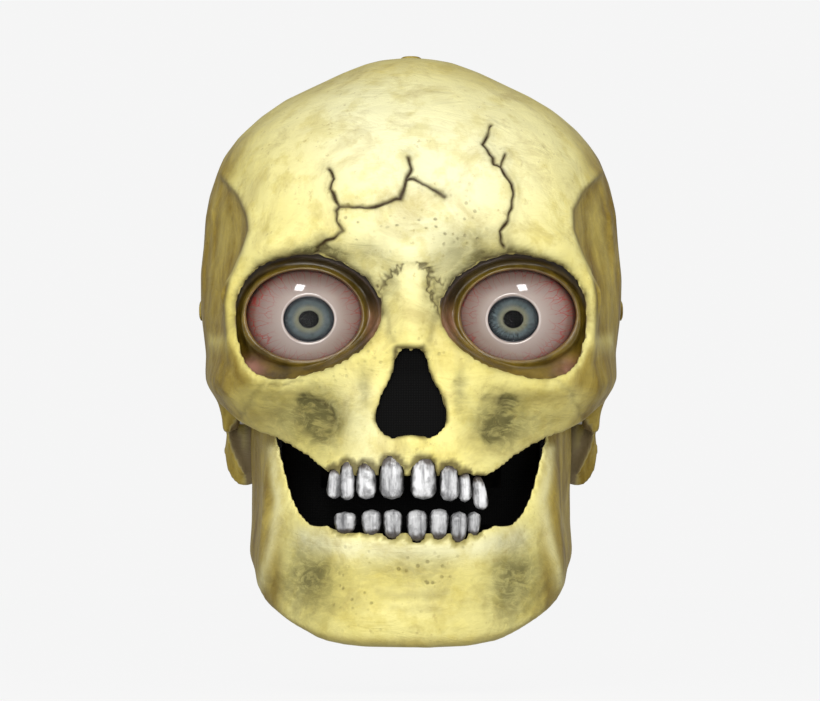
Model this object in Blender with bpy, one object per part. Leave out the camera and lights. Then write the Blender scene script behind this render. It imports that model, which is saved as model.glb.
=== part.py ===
"""Latex skull mask with a moving jaw, worn on the front half of the head with an elastic harness.

The face shell carries glass-like eyes, lids, teeth, a nose scrim, a mouth scrim, foam pads and the harness.
The jaw shell turns on a stud at each side, and elastic cords pull it back up. The wearer's chin rests in a
sling that opens it.

Everything is laid out in a drawing frame: X is across the face, Y runs from the face to the back of the head
with 0 at the widest section of the skull, and Z is the height above the chin. The empty mask_frame then moves
the whole mask so that the underside of the crown pad, where the mask rests on the wearer's head, is the
origin. Left and right are the wearer's.
"""

import math

import bmesh
import bpy
import numpy as np
from mathutils import Matrix, Vector
from mathutils.bvhtree import BVHTree

MM = 0.001
SIDES = (("left", 1), ("right", -1))

# Shells
LATEX = 3.0 * MM  # wall of both shells
GLUE_GAP = 0.3 * MM  # between pieces that are glued or that touch
RIM_Y = 20 * MM  # back edge of the face shell, a flat plane
SHELL_BOTTOM = 84 * MM
SKULL_SHARE = 0.10  # of the faces kept in the skull's surface, and in the jaw's
JAW_SHARE = 0.075
SKULL_INSIDE = (70 * MM, 25 * MM)  # lowest height and furthest Y of the fitted pieces' inner surface
JAW_INSIDE = (30 * MM, -25 * MM)
ARCH_BACK_Y = -16 * MM  # in front of this the lower edge of the face shell follows FACE_EDGE
MASTOID_FRONT_Y = 8 * MM
MASTOID_TOP = 104 * MM  # below this only the bone behind the jaw is left

# Horizontal sections of the skull: height, half width, depth in front of the widest section, squareness
SKULL_SECTIONS = [
    (290.5, 0, 0, 2.0), (289, 15, 16, 2.0), (285.5, 27, 29, 2.0), (279, 42, 44, 2.0), (267.5, 65, 67, 2.0),
    (255.5, 80.5, 83, 2.05), (243.5, 91, 94, 2.1), (231, 97, 101, 2.2), (214, 101.5, 105, 2.4), (196.5, 103, 107, 2.6),
    (179, 104.5, 107, 2.8), (155, 103.2, 107, 2.8), (132, 98, 107, 2.7), (120, 95, 108, 2.5),
    (108, 93, 109, 2.3), (96, 91, 109, 2.2), (84.5, 86, 108, 2.2), (74, 79, 105, 2.1), (62, 66, 90, 2.1),
    (52, 36, 50, 2.1), (48, 0, 0, 2.1),
]
JAW_SECTIONS = [
    (160, 0, 0, 2.1), (157, 35, 45, 2.1), (148, 64, 80, 2.1), (134, 76, 99, 2.1), (118, 79, 105, 2.1),
    (98, 79.5, 108, 2.1), (75, 79.5, 109, 2.2), (56, 79, 109, 2.4), (38, 79, 111, 2.6), (22, 79, 112, 2.8),
    (10, 78, 112, 2.8), (3, 74, 111, 2.8), (-1, 64, 104, 2.6), (-3, 44, 84, 2.4), (-3.5, 0, 0, 2.0),
]
JAW_SLOPE = 0.34  # rise of the lowest section towards the back, which fades out to the top
JAW_SLOPE_FRONT = -112
JAW_SLOPE_TOP = 125

# Swellings and hollows: centre, spread along each axis, height. The same on both sides.
SKULL_SWELLINGS = {
    "glabella": ((0, -108, 199), (15, 30, 8), 4.5),
    "frontal_boss": ((38, -92, 238), (26, 40, 20), 2.5),
    "temporal_hollow": ((102, -60, 205), (15, 20, 30), -8),
    "nasal_root": ((0, -106, 187), (9, 20, 5), -2.5),
    "orbit": ((50, -98, 161.5), (24, 40, 20), -8),
    "cheekbone": ((83, -76, 127), (15, 24, 12), 7),
    "cheek_hollow": ((48, -98, 112), (15, 28, 11), -6),
    "tooth_ridge": ((0, -108, 92), (33, 34, 14), 6),
    "nasal_spine": ((0, -110, 102), (5, 14, 4), 3),
    "jaw_corner_hollow": ((70, -84, 100), (11, 22, 9), -4),
    }
JAW_SWELLINGS = {
    "chin": ((0, -112, 17), (22, 24, 11), 4),
    "chin_corner": ((32, -108, 12), (11, 24, 8), 2.5),
    "above_chin": ((0, -109, 42), (30, 30, 8), -3),
    "side_hollow": ((54, -88, 34), (13, 30, 15), -4),
    "gum_ridge": ((0, -109, 56), (36, 34, 9), 3),
    "jaw_angle": ((81, -6, 44), (8, 14, 7), 1.5),
    "ramus_hollow": ((80, -32, 72), (10, 14, 22), -2),
}

# Ridges: points along the ridge, half width, height. The same on both sides.
SKULL_RIDGES = {
    "nose_bridge": (((0, -106, 190), (0, -110, 170), (0, -112, 148)), 8, 12),
    "nose_flank": (((12, -106, 186), (17, -106, 165), (22, -106, 140), (26, -106, 118)), 8, 4),
    "brow": (((14, -108, 197), (32, -106, 202), (56, -99, 201), (77, -85, 190), (88, -74, 172)), 7, 5),
    "lower_rim": (((88, -74, 172), (87, -76, 150), (74, -88, 133), (50, -100, 131), (26, -106, 144)), 6, 4.5),
    "cheek_arch": (((92, -64, 131), (97, -42, 130), (99, -14, 131)), 7, 4),
}
JAW_RIDGES = {
    "oblique_line": (((68, -56, 84), (70, -60, 62), (72, -60, 42)), 6, 2.5),
    "lower_border": (((45, -100, 6), (64, -76, 15), (76, -40, 27)), 5, 1),
}

# Lower edge of the face shell seen from the front, from the middle outwards
FACE_EDGE = [(0, 84), (20, 84), (38, 84), (43, 87), (49, 92), (57, 97), (66, 102), (75, 105), (84, 110), (92, 117),
             (99, 122), (112, 124)]
# Right half of the nose opening seen from the front, from the top
NOSE_EDGE = [(0, 145), (5.5, 146.5), (7, 141.5), (8.3, 134.5), (11.5, 128), (15, 121.5), (17, 113.5), (16, 107),
             (9, 102.8), (4, 104.1), (0, 103.5)]
# Upper edge of the jaw seen from the front, from the middle outwards
JAW_EDGE = [(0, 57), (20, 57), (34, 57.5), (41, 60), (46, 59.5), (51, 62), (55, 67), (58.5, 75), (61.5, 85), (64, 95),
            (67, 108), (70, 125), (71, 150)]
# Side outline of the back of the jaw (Y, Z): back edge, condyle, notch, coronoid; then well past the front and below
JAW_SIDE = [(-12, 20), (-2, 38), (3, 48), (4, 70), (3, 95), (4, 114), (1, 125), (-8, 128), (-17, 125), (-24, 113),
            (-34, 107), (-44, 112), (-51, 115), (-60, 108), (-68, 98)]
JAW_SIDE_FRONT = [(-140, 98), (-140, -20), (-12, -20)]
FLOOR_OPENING = (62, 100)  # half width and depth in front of the widest section, of the hole under the jaw
# Bone behind the jaw: a lump moulded on the face shell
MASTOID_CENTRE = (82.5, 15, 95.5)
MASTOID_RADII = (10.5, 4.8, 18.5)

# Eyes
EYE_X = 50 * MM
EYE_Z = 161.5 * MM
EYE_SETBACK = -103 * MM  # front of the eyeball, before the shell's wall is added
EYE_POLE_Y = EYE_SETBACK + LATEX
EYE_HALF_WIDTH = 33 * MM
EYE_HALF_HEIGHT = 29.5 * MM
EYE_DEPTH = 30 * MM
EYE_WALL = 2 * MM
IRIS_RADIUS = 12.5 * MM
IRIS_THICK = 1.2 * MM
IRIS_FLATTEN = 0.88  # height over width of the iris, pupil and cornea
PUPIL_RADIUS = 4.8 * MM
CORNEA_BULGE = 1.2 * MM  # how far the cornea stands in front of the eyeball
CORNEA_EDGE = 0.5 * MM
SCREEN_THICK = 0.8 * MM
SCREEN_LAP = 2 * MM
RING_THICK = 3 * MM
RING_GAP = 1.4 * MM  # behind the eyeball's back edge
LID_GAP = 0.5 * MM  # between the lids and the eyeball
# Socket opening and the visible opening between the lids, about the eye's centre: outwards from the nose, up
SOCKET_EDGE = [(5, 30), (24, 24), (34, 11), (35, -5), (30, -23), (16, -29.5), (-8, -25), (-28, -13), (-35.5, 2),
               (-29, 17.5), (-12, 28)]
LID_CENTRE = (2.5, 1.0)
LID_OPENING = (28.5, 22.3)
LID_THICK = 2.5 * MM
SOCKET_LAP = 3 * MM  # how far the lids reach behind the shell

# Teeth: distance from the middle, width, height of the root end, height of the biting edge, lean in degrees
UPPER_TEETH = [(-39.5, 7, 87, 73.2, 8), (-32.5, 7.4, 90.5, 72.7, 3), (-22.7, 10.4, 89.5, 73.2, 0),
               (-10, 12.8, 92.5, 73.2, 0), (6.4, 13.4, 92, 73.2, 0), (19.7, 10, 89, 72.3, -3), (27.6, 6, 85, 71.6, -3),
               (36.2, 6.6, 82.7, 67.8, -12)]
LOWER_TEETH = [(-33.2, 12, 57.3, 66, 0), (-19.8, 10.6, 56.5, 67, 0), (-9, 10, 55, 67, 0), (3, 11, 53.7, 67, 0),
               (14.2, 10, 54.6, 67.4, 3), (24.2, 9, 53, 66, 3), (32.2, 6.2, 56, 66, 6)]
TOOTH_DEPTH = 8 * MM
TOOTH_PROUD = 1.2 * MM  # how far a tooth stands in front of the gum
TOOTH_ROOT = 1.5 * MM  # how far a root reaches past the visible neck
BAR_THICK = 7 * MM
UPPER_BAR = (44, 78, 96.5)  # half width, lowest and highest point, of the strip that the teeth are set in
LOWER_BAR = (40, 42, 60)

# Jaw hinge
HINGE_Y = -8 * MM
HINGE_Z = 117 * MM
RAMUS_OUT = 79 * MM  # outer face of the jaw at the hinge
BOSS_RADIUS = 11 * MM
BOSS_X = 85 * MM  # inner end of the boss in the face shell
BOSS_SINK = 1.5 * MM  # how far the boss's outer end stays under the shell's surface
STUD_FLANGE = (8.5 * MM, 2 * MM)  # radius, thickness
STUD_SHOULDER_RADIUS = 4.5 * MM
STUD_SHANK_RADIUS = 2.5 * MM
STUD_TAIL = 5 * MM
RUNNING_GAP = 0.5 * MM
CAP_RADIUS = 6.5 * MM
CAP_THICK = 3 * MM
CAP_GAP = 1 * MM  # between the jaw's inner face and the cap

# Jaw elastics
ELASTIC_Y = -48 * MM
ELASTIC_TOP_Z = 132 * MM
ELASTIC_LOW_Z = 74 * MM
ELASTIC_X = 64.5 * MM
ELASTIC_RADIUS = 1.2 * MM
ELASTIC_LOOP = 3.6 * MM  # radius of the cord's end loops, to the middle of the cord
PEG_RADIUS = 2 * MM
PEG_HEAD = (3 * MM, 1 * MM)

# Scrims
SCRIM_THICK = 1 * MM
NOSE_SCRIM_GROWTH = 1.25  # of the nose opening, for the lap behind its edge
MOUTH_SCRIM_BACK_Y = -20 * MM
MOUTH_SCRIM_HALF_WIDTH = 62 * MM
MOUTH_SCRIM_WING = (70 * MM, -18 * MM)  # X and Y of the curtain's side edges, which turn out behind the jaw
# Height of a row and how far forward its middle stands, from the top edge, which is glued inside the face shell
MOUTH_SCRIM_ROWS = [(112, -102.5), (104, -97.5), (96, -90), (80, -82), (56, -78), (24, -76)]
MOUTH_SCRIM_SIDE_RISE = 30 * MM  # how much higher the bottom edge is at the sides

# Pads and chin sling
CROWN_PAD = ((-34, -56, 273), (34, -8, 300))  # two corners; the underside is the seat
FOREHEAD_PAD = ((-44, -140, 216), (44, -80, 246))
CHEEK_PAD = ((80, -46, 140), (120, -14, 172))
SLING_WIDTH = 26 * MM
SLING_THICK = 1.6 * MM
SLING_Y = -44 * MM
SLING_TOP_Z = 56 * MM
SLING_HALF_SPAN = 84 * MM
SLING_DROP = 26 * MM

# Harness
STRAP_WIDTH = 25 * MM
STRAP_THICK = 1.8 * MM
STRAP_Z = 165 * MM
STRAP_SEAT = 101.2 * MM  # outside of the shell by the strap, about the vertical axis through X 0, Y 0
STRAP_RADIUS = STRAP_SEAT - LATEX  # middle of the strap
STRAP_START = 2  # degrees behind the widest section
CROWN_STRAP_WIDTH = 16 * MM
CROWN_STRAP_START = 5 * MM
CROWN_STRAP_CENTRE_Z = 186 * MM
CROWN_STRAP_REACH = (97.2 * MM, 97.8 * MM)  # back and up from that centre, to the middle of the strap
SLIDER_ANGLE = 40  # degrees behind the widest section
SLIDER_SPAN = 16  # degrees of arc
SLEEVE_THICK = 2 * MM
SLEEVE_GAP = 0.8 * MM
RIVET_Y = 13 * MM
RIVET_RADIUS = 2 * MM
RIVET_HEAD = (5 * MM, 1 * MM)
RIVET_HEAD_GAP = 0.7 * MM  # the shell is curved under the head
RIVET_CAP = (4.5 * MM, 1 * MM)

COLOURS = {
    "bone": ((0.78, 0.68, 0.30), 0.45, 0),
    "sclera": ((0.72, 0.55, 0.53), 0.12, 0),
    "iris": ((0.22, 0.29, 0.33), 0.3, 0),
    "clear": ((0.9, 0.9, 0.9), 0.03, 0),
    "black": ((0.01, 0.01, 0.01), 0.8, 0),
    "lid": ((0.22, 0.15, 0.04), 0.3, 0),
    "tooth": ((0.55, 0.55, 0.57), 0.3, 0),
    "plastic": ((0.03, 0.03, 0.03), 0.45, 0),
    "foam": ((0.12, 0.12, 0.13), 0.9, 0),
    "webbing": ((0.02, 0.02, 0.022), 0.8, 0),
    "metal": ((0.55, 0.55, 0.57), 0.3, 1),
    "cord": ((0.75, 0.73, 0.68), 0.7, 0),
}


# ------------------------------------------------------------------------------------------------ general tools


def material(name):
    """The Principled material of that name, made once."""
    found = bpy.data.materials.get(name)
    if found:
        return found
    made = bpy.data.materials.new(name)
    made.use_nodes = True
    colour, roughness, metallic = COLOURS[name]
    shader = made.node_tree.nodes["Principled BSDF"]
    shader.inputs["Base Color"].default_value = (*colour, 1)
    shader.inputs["Roughness"].default_value = roughness
    shader.inputs["Metallic"].default_value = metallic
    return made


def add_object(name, bm, frame, finish=None):
    """An object from a bmesh, parented to the frame. Without a finish it is a hidden helper, such as a cutter."""
    bmesh.ops.recalc_face_normals(bm, faces=bm.faces)
    mesh = bpy.data.meshes.new(name)
    bm.to_mesh(mesh)
    bm.free()
    obj = bpy.data.objects.new(name, mesh)
    bpy.context.scene.collection.objects.link(obj)
    obj.parent = frame
    if frame.parent:
        obj.matrix_parent_inverse = Matrix.Translation(-frame.location)
    if finish is None:
        obj.hide_render = True
        obj.display_type = "WIRE"
    else:
        mesh.materials.append(material(finish))
        mesh.shade_smooth()
        mesh.set_sharp_from_angle(angle=math.radians(35))
    return obj


def boolean(obj, other, operation):
    modifier = obj.modifiers.new(f"{operation.lower()}_{other.name}", "BOOLEAN")
    modifier.operation = operation
    modifier.object = other
    modifier.solver = "EXACT"


def loft(loops, ring=False):
    """A bmesh skinned over closed loops of points, each with the same number. A ring joins the last loop to the first;
    otherwise both ends are capped."""
    bm = bmesh.new()
    rows = [[bm.verts.new(point) for point in loop] for loop in loops]
    for row in rows:
        for a, b in zip(row, row[1:] + row[:1]):
            bm.edges.new((a, b))
    pairs = list(zip(rows, rows[1:] + rows[:1] if ring else rows[1:]))
    for first, second in pairs:
        for i, a in enumerate(first):
            j = (i + 1) % len(first)
            bm.faces.new((a, first[j], second[j], second[i]))
    if not ring:
        bm.faces.new(rows[0])
        bm.faces.new(rows[-1])
    return bm


def block(low, high):
    """A box between two corners."""
    bm = bmesh.new()
    size = Vector(high) - Vector(low)
    place = Matrix.Translation((Vector(high) + Vector(low)) / 2) @ Matrix.Diagonal((*size, 1))
    bmesh.ops.create_cube(bm, size=1, matrix=place)
    return bm


def turned(profile, place, direction, segments=20):
    """A turned piece: a profile of (radius, distance along the axis), from a place in a direction."""
    turns = [2 * math.pi * i / segments for i in range(segments)]
    bm = loft([[(r * math.cos(a), r * math.sin(a), d) for a in turns] for r, d in profile])
    turn = Vector(direction).to_track_quat("Z", "Y").to_matrix().to_4x4()
    bmesh.ops.transform(bm, matrix=Matrix.Translation(place) @ turn, verts=bm.verts)
    return bm


def ellipsoid(centre, radii, subdivisions):
    bm = bmesh.new()
    place = Matrix.Translation(centre) @ Matrix.Diagonal((*radii, 1))
    bmesh.ops.create_icosphere(bm, subdivisions=subdivisions, radius=1, matrix=place)
    return bm


def smooth_curve(points, steps, closed=False):
    """Points on a Catmull-Rom curve through the given ones."""
    points = [np.array(p, float) for p in points]
    spans = len(points) if closed else len(points) - 1
    found = []
    for span in range(spans):
        if closed:
            p0, p1, p2, p3 = (points[(span + k - 1) % len(points)] for k in range(4))
        else:
            p0, p1, p2, p3 = (points[min(max(span + k - 1, 0), len(points) - 1)] for k in range(4))
        for step in range(steps):
            t = step / steps
            found.append(catmull(p0, p1, p2, p3, t))
    if not closed:
        found.append(points[-1])
    return found


def catmull(p0, p1, p2, p3, t):
    return 0.5 * (2 * p1 + (p2 - p0) * t + (2 * p0 - 5 * p1 + 4 * p2 - p3) * t**2 + (3 * p1 - p0 - 3 * p2 + p3) * t**3)


def prism_y(outline, y0, y1):
    """A front-view outline of (x, z) pairs drawn out along Y."""
    return loft([[(x, y0, z) for x, z in outline], [(x, y1, z) for x, z in outline]])


def prism_x(outline, x0, x1):
    """A side-view outline of (y, z) pairs drawn out along X."""
    return loft([[(x0, y, z) for y, z in outline], [(x1, y, z) for y, z in outline]])


def mirrored(half):
    """A whole outline from its right half, which starts and ends on the middle line."""
    return list(half) + [(-x, z) for x, z in reversed(half[1:-1])]


# ------------------------------------------------------------------------------------------------ skull surfaces


def section_at(sections, share):
    """Height, half width, depth and squareness, in metres, at a share of the way from the top section to the last."""
    place = share * (len(sections) - 1)
    span = min(int(place), len(sections) - 2)
    around = [np.array(sections[min(max(span + k - 1, 0), len(sections) - 1)], float) for k in range(4)]
    height, width, depth, squareness = catmull(*around, place - span)
    return height * MM, max(width, 0) * MM, max(depth, 0) * MM, squareness


def ball_on_sections(sections):
    """A ball whose horizontal sections follow the given ones: squarish in front, and round behind."""
    bm = ellipsoid((0, 0, 0), (1, 1, 1), subdivisions=6)
    for vert in bm.verts:
        x, y, z = vert.co
        height, width, depth, squareness = section_at(sections, math.acos(max(-1, min(1, z))) / math.pi)
        flat = math.hypot(x, y)
        if flat < 1e-6:
            vert.co = (0, 0, height)
            continue
        across, along = x / flat, y / flat
        if along > 0:
            vert.co = (width * across, width * along, height)
            continue
        reach = (abs(across) ** squareness + abs(along) ** squareness) ** (-1 / squareness)
        vert.co = (width * across * reach, depth * along * reach, height)
    bmesh.ops.recalc_face_normals(bm, faces=bm.faces)
    return bm


def distance_to_line(points, line):
    """Distance from each point to a broken line."""
    best = np.full(len(points), 1e9)
    for start, end in zip(line, line[1:]):
        along = end - start
        t = np.clip((points - start) @ along / (along @ along), 0, 1)
        best = np.minimum(best, np.linalg.norm(points - start - t[:, None] * along, axis=1))
    return best


def raise_relief(bm, swellings, ridges):
    """Moves the surface out or in along its normals by the swellings and ridges, the same on both sides."""
    bm.normal_update()
    place = np.array([vert.co for vert in bm.verts]) / MM
    place[:, 0] = np.abs(place[:, 0])
    rise = np.zeros(len(place))
    for centre, spread, height in swellings.values():
        rise += height * np.exp(-0.5 * (((place - centre) / spread) ** 2).sum(axis=1))
    for line, half_width, height in ridges.values():
        line = smooth_curve(line, 5)
        rise += height * np.exp(-0.5 * (distance_to_line(place, line) / half_width) ** 2)
    for vert, height in zip(bm.verts, rise):
        vert.co += vert.normal * float(height) * MM


def shaped_skin(name, sections, slope, swellings, ridges, keep_share, frame):
    """The closed outer surface of a shell, as a hidden helper thinned to a share of its faces."""
    bm = ball_on_sections(sections)
    for vert in bm.verts:
        fade = max(0, 1 - max(vert.co.z, 0) / (JAW_SLOPE_TOP * MM))
        vert.co.z += slope * (vert.co.y - JAW_SLOPE_FRONT * MM) * fade
    raise_relief(bm, swellings, ridges)
    skin = add_object(name, bm, frame)
    thin = skin.modifiers.new("thin", "DECIMATE")
    thin.ratio = keep_share
    bpy.context.view_layer.update()
    mesh = bpy.data.meshes.new_from_object(skin.evaluated_get(bpy.context.evaluated_depsgraph_get()))
    skin.modifiers.clear()
    skin.data = mesh
    return skin


def inside_of(skin, name, inset, low, back, frame):
    """The surface of a skin moved in by an inset, closed at a lowest height and at a furthest Y, as a hidden helper."""
    bm = bmesh.new()
    bm.from_mesh(skin.data)
    bm.normal_update()
    for vert in bm.verts:
        vert.co -= vert.normal * inset * min(vert.calc_shell_factor(), 1.3)
    for place, outwards in (((0, 0, low), (0, 0, -1)), ((0, back, 0), (0, 1, 0))):
        whole = bm.verts[:] + bm.edges[:] + bm.faces[:]
        cut = bmesh.ops.bisect_plane(bm, geom=whole, plane_co=place, plane_no=outwards, clear_outer=True)
        rim = [part for part in cut["geom_cut"] if isinstance(part, bmesh.types.BMEdge)]
        bmesh.ops.holes_fill(bm, edges=rim)
    return add_object(name, bm, frame)


def walled(skin, name, finish, thickness, frame):
    """An object with the skin's outer surface and a wall of the given thickness."""
    bm = bmesh.new()
    bm.from_mesh(skin.data)
    obj = add_object(name, bm, frame, finish)
    wall = obj.modifiers.new("wall", "SOLIDIFY")
    wall.thickness = thickness
    wall.offset = -1
    return obj


def surface_finder(skin):
    """A function that gives where a ray meets the skin, and the skin's normal there."""
    bm = bmesh.new()
    bm.from_mesh(skin.data)
    tree = BVHTree.FromBMesh(bm)
    bm.free()

    def found(start, direction):
        place, normal, _, _ = tree.ray_cast(Vector(start), Vector(direction))
        return place, normal

    return found


def depth_finder(skin):
    """A function that gives the surface's front Y and its normal at an X and Z."""
    surface = surface_finder(skin)

    def depth(x, z):
        place, normal = surface((x, -0.4, z), (0, 1, 0))
        return place.y, normal

    return depth


# ------------------------------------------------------------------------------------------------ teeth


def tooth_mesh(width, height, depth, grow):
    """A tooth standing on its biting edge: a rounded block that narrows towards the root, with the edge at Z 0."""
    bm = bmesh.new()
    bmesh.ops.create_cube(bm, size=2)
    bmesh.ops.subdivide_edges(bm, edges=bm.edges, cuts=2, use_grid_fill=True)
    for vert in bm.verts:
        squareness = 3.2
        reach = sum(abs(c) ** squareness for c in vert.co) ** (-1 / squareness)
        unit = vert.co * reach * max(abs(c) for c in vert.co)
        narrowing = 1 - 0.26 * (unit.z + 1) / 2
        vert.co = (
            unit.x * (width / 2 * narrowing + grow),
            unit.y * (depth / 2 * narrowing + grow),
            (unit.z + 1) * height / 2 + unit.z * grow,
        )
    return bm


def place_tooth(bm, spec, depth_at, upper):
    """Turns a tooth to face out of the jaw at its place, root end in the gum."""
    x, _, root, edge, lean = spec
    y, normal = depth_at(x * MM, (root - 3 if upper else root + 1) * MM)
    yaw = math.atan2(normal.x, -normal.y)
    flip = Matrix.Identity(4) if upper else Matrix.Rotation(math.pi, 4, "X")
    turn = Matrix.Rotation(yaw, 4, "Z") @ Matrix.Rotation(math.radians(lean), 4, "Y") @ flip
    back = Vector((-math.sin(yaw), math.cos(yaw), 0)) * (TOOTH_DEPTH / 2 - TOOTH_PROUD)
    bmesh.ops.transform(bm, matrix=Matrix.Translation(Vector((x * MM, y, edge * MM)) + back) @ turn, verts=bm.verts)


def teeth_row(names, specs, depth_at, upper, frame):
    """The teeth of a row, and a hidden cutter for each one's pocket."""
    pockets = []
    for number, spec in enumerate(specs, 1):
        height = abs(spec[2] - spec[3]) * MM + TOOTH_ROOT
        for grow, finish in ((0, "tooth"), (GLUE_GAP, None)):
            bm = tooth_mesh(spec[1] * MM, height, TOOTH_DEPTH, grow)
            place_tooth(bm, spec, depth_at, upper)
            made = add_object(f"{names}_{number}" + ("" if finish else "_pocket"), bm, frame, finish)
        pockets.append(made)
    return pockets


def tooth_bar(name, cavity, spec, pockets, frame):
    """The strip glued inside a shell that the teeth are set in."""
    half_width, low, high = (v * MM for v in spec)
    bar = walled(cavity, name, "plastic", BAR_THICK, frame)
    window = add_object(name + "_window", block((-half_width, -0.2, low), (half_width, -0.06, high)), frame)
    boolean(bar, window, "INTERSECT")
    for pocket in pockets:
        boolean(bar, pocket, "DIFFERENCE")


# ------------------------------------------------------------------------------------------------ eyes


def eye_surface_y(u, v, grow=0.0):
    """Y of the eyeball's front at a distance outwards and up from its centre, grown by a gap."""
    a, b, c = EYE_HALF_WIDTH + grow, EYE_DEPTH + grow, EYE_HALF_HEIGHT + grow
    inside = 1 - (u / a) ** 2 - (v / c) ** 2
    return EYE_POLE_Y + EYE_DEPTH - b * math.sqrt(max(inside, 0.0))


def eye_loop(points, side, y_of):
    """A loop round an eye from (outwards, up) pairs, with its depth from a function of them. Both sides' loops run the
    same way round, seen from the front."""
    return [(side * (EYE_X + u), y_of(u, v), EYE_Z + v) for u, v in points[::side]]


def oval(radius_u, radius_v, count, centre=(0, 0)):
    turns = [2 * math.pi * i / count for i in range(count)]
    return [(centre[0] + radius_u * math.cos(a), centre[1] + radius_v * math.sin(a)) for a in turns]


def eyeball(name, side, frame):
    """A hollow dome with a seat for the iris."""
    bm = bmesh.new()
    bmesh.ops.create_uvsphere(bm, u_segments=22, v_segments=14, radius=1, matrix=Matrix.Rotation(math.pi / 2, 4, "X"))
    bmesh.ops.bisect_plane(
        bm, geom=bm.verts[:] + bm.edges[:] + bm.faces[:], plane_co=(0, 0, 0), plane_no=(0, 1, 0), clear_outer=True
    )
    centre = Vector((side * EYE_X, EYE_POLE_Y + EYE_DEPTH, EYE_Z))
    size = Matrix.Diagonal((EYE_HALF_WIDTH, EYE_DEPTH, EYE_HALF_HEIGHT, 1))
    bmesh.ops.transform(bm, matrix=Matrix.Translation(centre) @ size, verts=bm.verts)
    dome = add_object(name, bm, frame, "sclera")
    wall = dome.modifiers.new("wall", "SOLIDIFY")
    wall.thickness = EYE_WALL
    wall.offset = -1
    radius = IRIS_RADIUS + GLUE_GAP
    hole = oval(radius, radius * IRIS_FLATTEN, 32)
    loops = [eye_loop(hole, side, lambda u, v, y=y: y) for y in (EYE_POLE_Y - 5 * MM, EYE_POLE_Y + 12 * MM)]
    boolean(dome, add_object(name + "_iris_hole", loft(loops), frame), "DIFFERENCE")


def iris_plane_y():
    """Front of the iris: where the eyeball's surface meets the edge of the iris."""
    return eye_surface_y(IRIS_RADIUS, 0) + 0.6 * MM


def iris(name, side, frame):
    """A printed ring round the pupil hole, slightly dished."""
    front, back = iris_plane_y(), iris_plane_y() + IRIS_THICK
    shape = [(IRIS_RADIUS, front), (PUPIL_RADIUS, front + 0.4 * MM), (PUPIL_RADIUS, back), (IRIS_RADIUS, back)]
    loops = [eye_loop(oval(r, r * IRIS_FLATTEN, 28), side, lambda u, v, y=y: y) for r, y in shape]
    add_object(name, loft(loops, ring=True), frame, "iris")


def cornea(name, side, frame):
    """A clear lens over the iris, flat behind."""
    back = iris_plane_y() - GLUE_GAP
    edge = back - CORNEA_EDGE
    front = EYE_POLE_Y - CORNEA_BULGE
    rings = 5
    loops = []
    for step in range(rings):
        share = step / (rings - 0.5)
        turn = share * math.pi / 2
        loops.append((IRIS_RADIUS * math.cos(turn), edge - (edge - front) * math.sin(turn)))
    loops.insert(0, (IRIS_RADIUS, back))
    rows = [eye_loop(oval(r, r * IRIS_FLATTEN, 28), side, lambda u, v, y=y: y) for r, y in loops]
    add_object(name, loft(rows), frame, "clear")


def pupil_screen(name, side, frame):
    """A black see-through disc behind the pupil hole, which the wearer looks through."""
    front = iris_plane_y() + IRIS_THICK + GLUE_GAP
    radius = PUPIL_RADIUS + SCREEN_LAP
    loops = [
        eye_loop(oval(radius, radius * IRIS_FLATTEN, 24), side, lambda u, v, y=y: y)
        for y in (front, front + SCREEN_THICK)
    ]
    add_object(name, loft(loops), frame, "black")


def socket_points(grow, count_per_span=3):
    """The socket's edge moved out by a distance, as (outwards, up) pairs in metres."""
    curve = smooth_curve([(u * MM, v * MM) for u, v in SOCKET_EDGE], count_per_span, closed=True)
    found = []
    for before, here, after in zip(curve[-1:] + curve[:-1], curve, curve[1:] + curve[:1]):
        along = after - before
        out = np.array((along[1], -along[0])) / np.linalg.norm(along)
        if out @ here < 0:
            out = -out
        found.append(tuple(here + out * grow))
    return found


def eyelids(name, side, inner_depth, frame):
    """Upper and lower lid as one ring: a rolled lip on the eyeball, and a skirt glued behind the edge of the socket."""
    edge = socket_points(-1.5 * MM)
    centre = np.array(LID_CENTRE) * MM
    turns = [math.atan2(*(np.array(point) - centre)[::-1]) for point in edge]
    lip = [centre + np.array((math.cos(a), math.sin(a))) * np.array(LID_OPENING) * MM for a in turns]

    def between(share):
        return [a + (np.array(b) - a) * share for a, b in zip(lip, edge)]

    def on_eye(gap):
        return lambda u, v: eye_surface_y(u, v, LID_GAP + gap)

    def behind_shell(gap, gap_to_eye):
        def y_of(u, v):
            y, normal = inner_depth(EYE_X + u, EYE_Z + v)
            return min(y + gap / max(-normal.y, 0.5), eye_surface_y(u, v, LID_GAP) - gap_to_eye)

        return y_of

    skirt = socket_points(SOCKET_LAP)
    loops = [
        eye_loop(between(0), side, on_eye(1.2 * MM)),
        eye_loop(between(0.12), side, on_eye(LID_THICK)),
        eye_loop(between(0.5), side, on_eye(LID_THICK + 0.6 * MM)),
        eye_loop(between(1), side, behind_shell(0.8 * MM, 1.4 * MM)),
        eye_loop(skirt, side, behind_shell(0.2 * MM, 2 * MM)),
        eye_loop(skirt, side, behind_shell(2.2 * MM, 0)),
        eye_loop(between(1), side, behind_shell(3.2 * MM, 0)),
        eye_loop(between(0.15), side, on_eye(0)),
    ]
    add_object(name, loft(loops, ring=True), frame, "lid")


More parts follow.
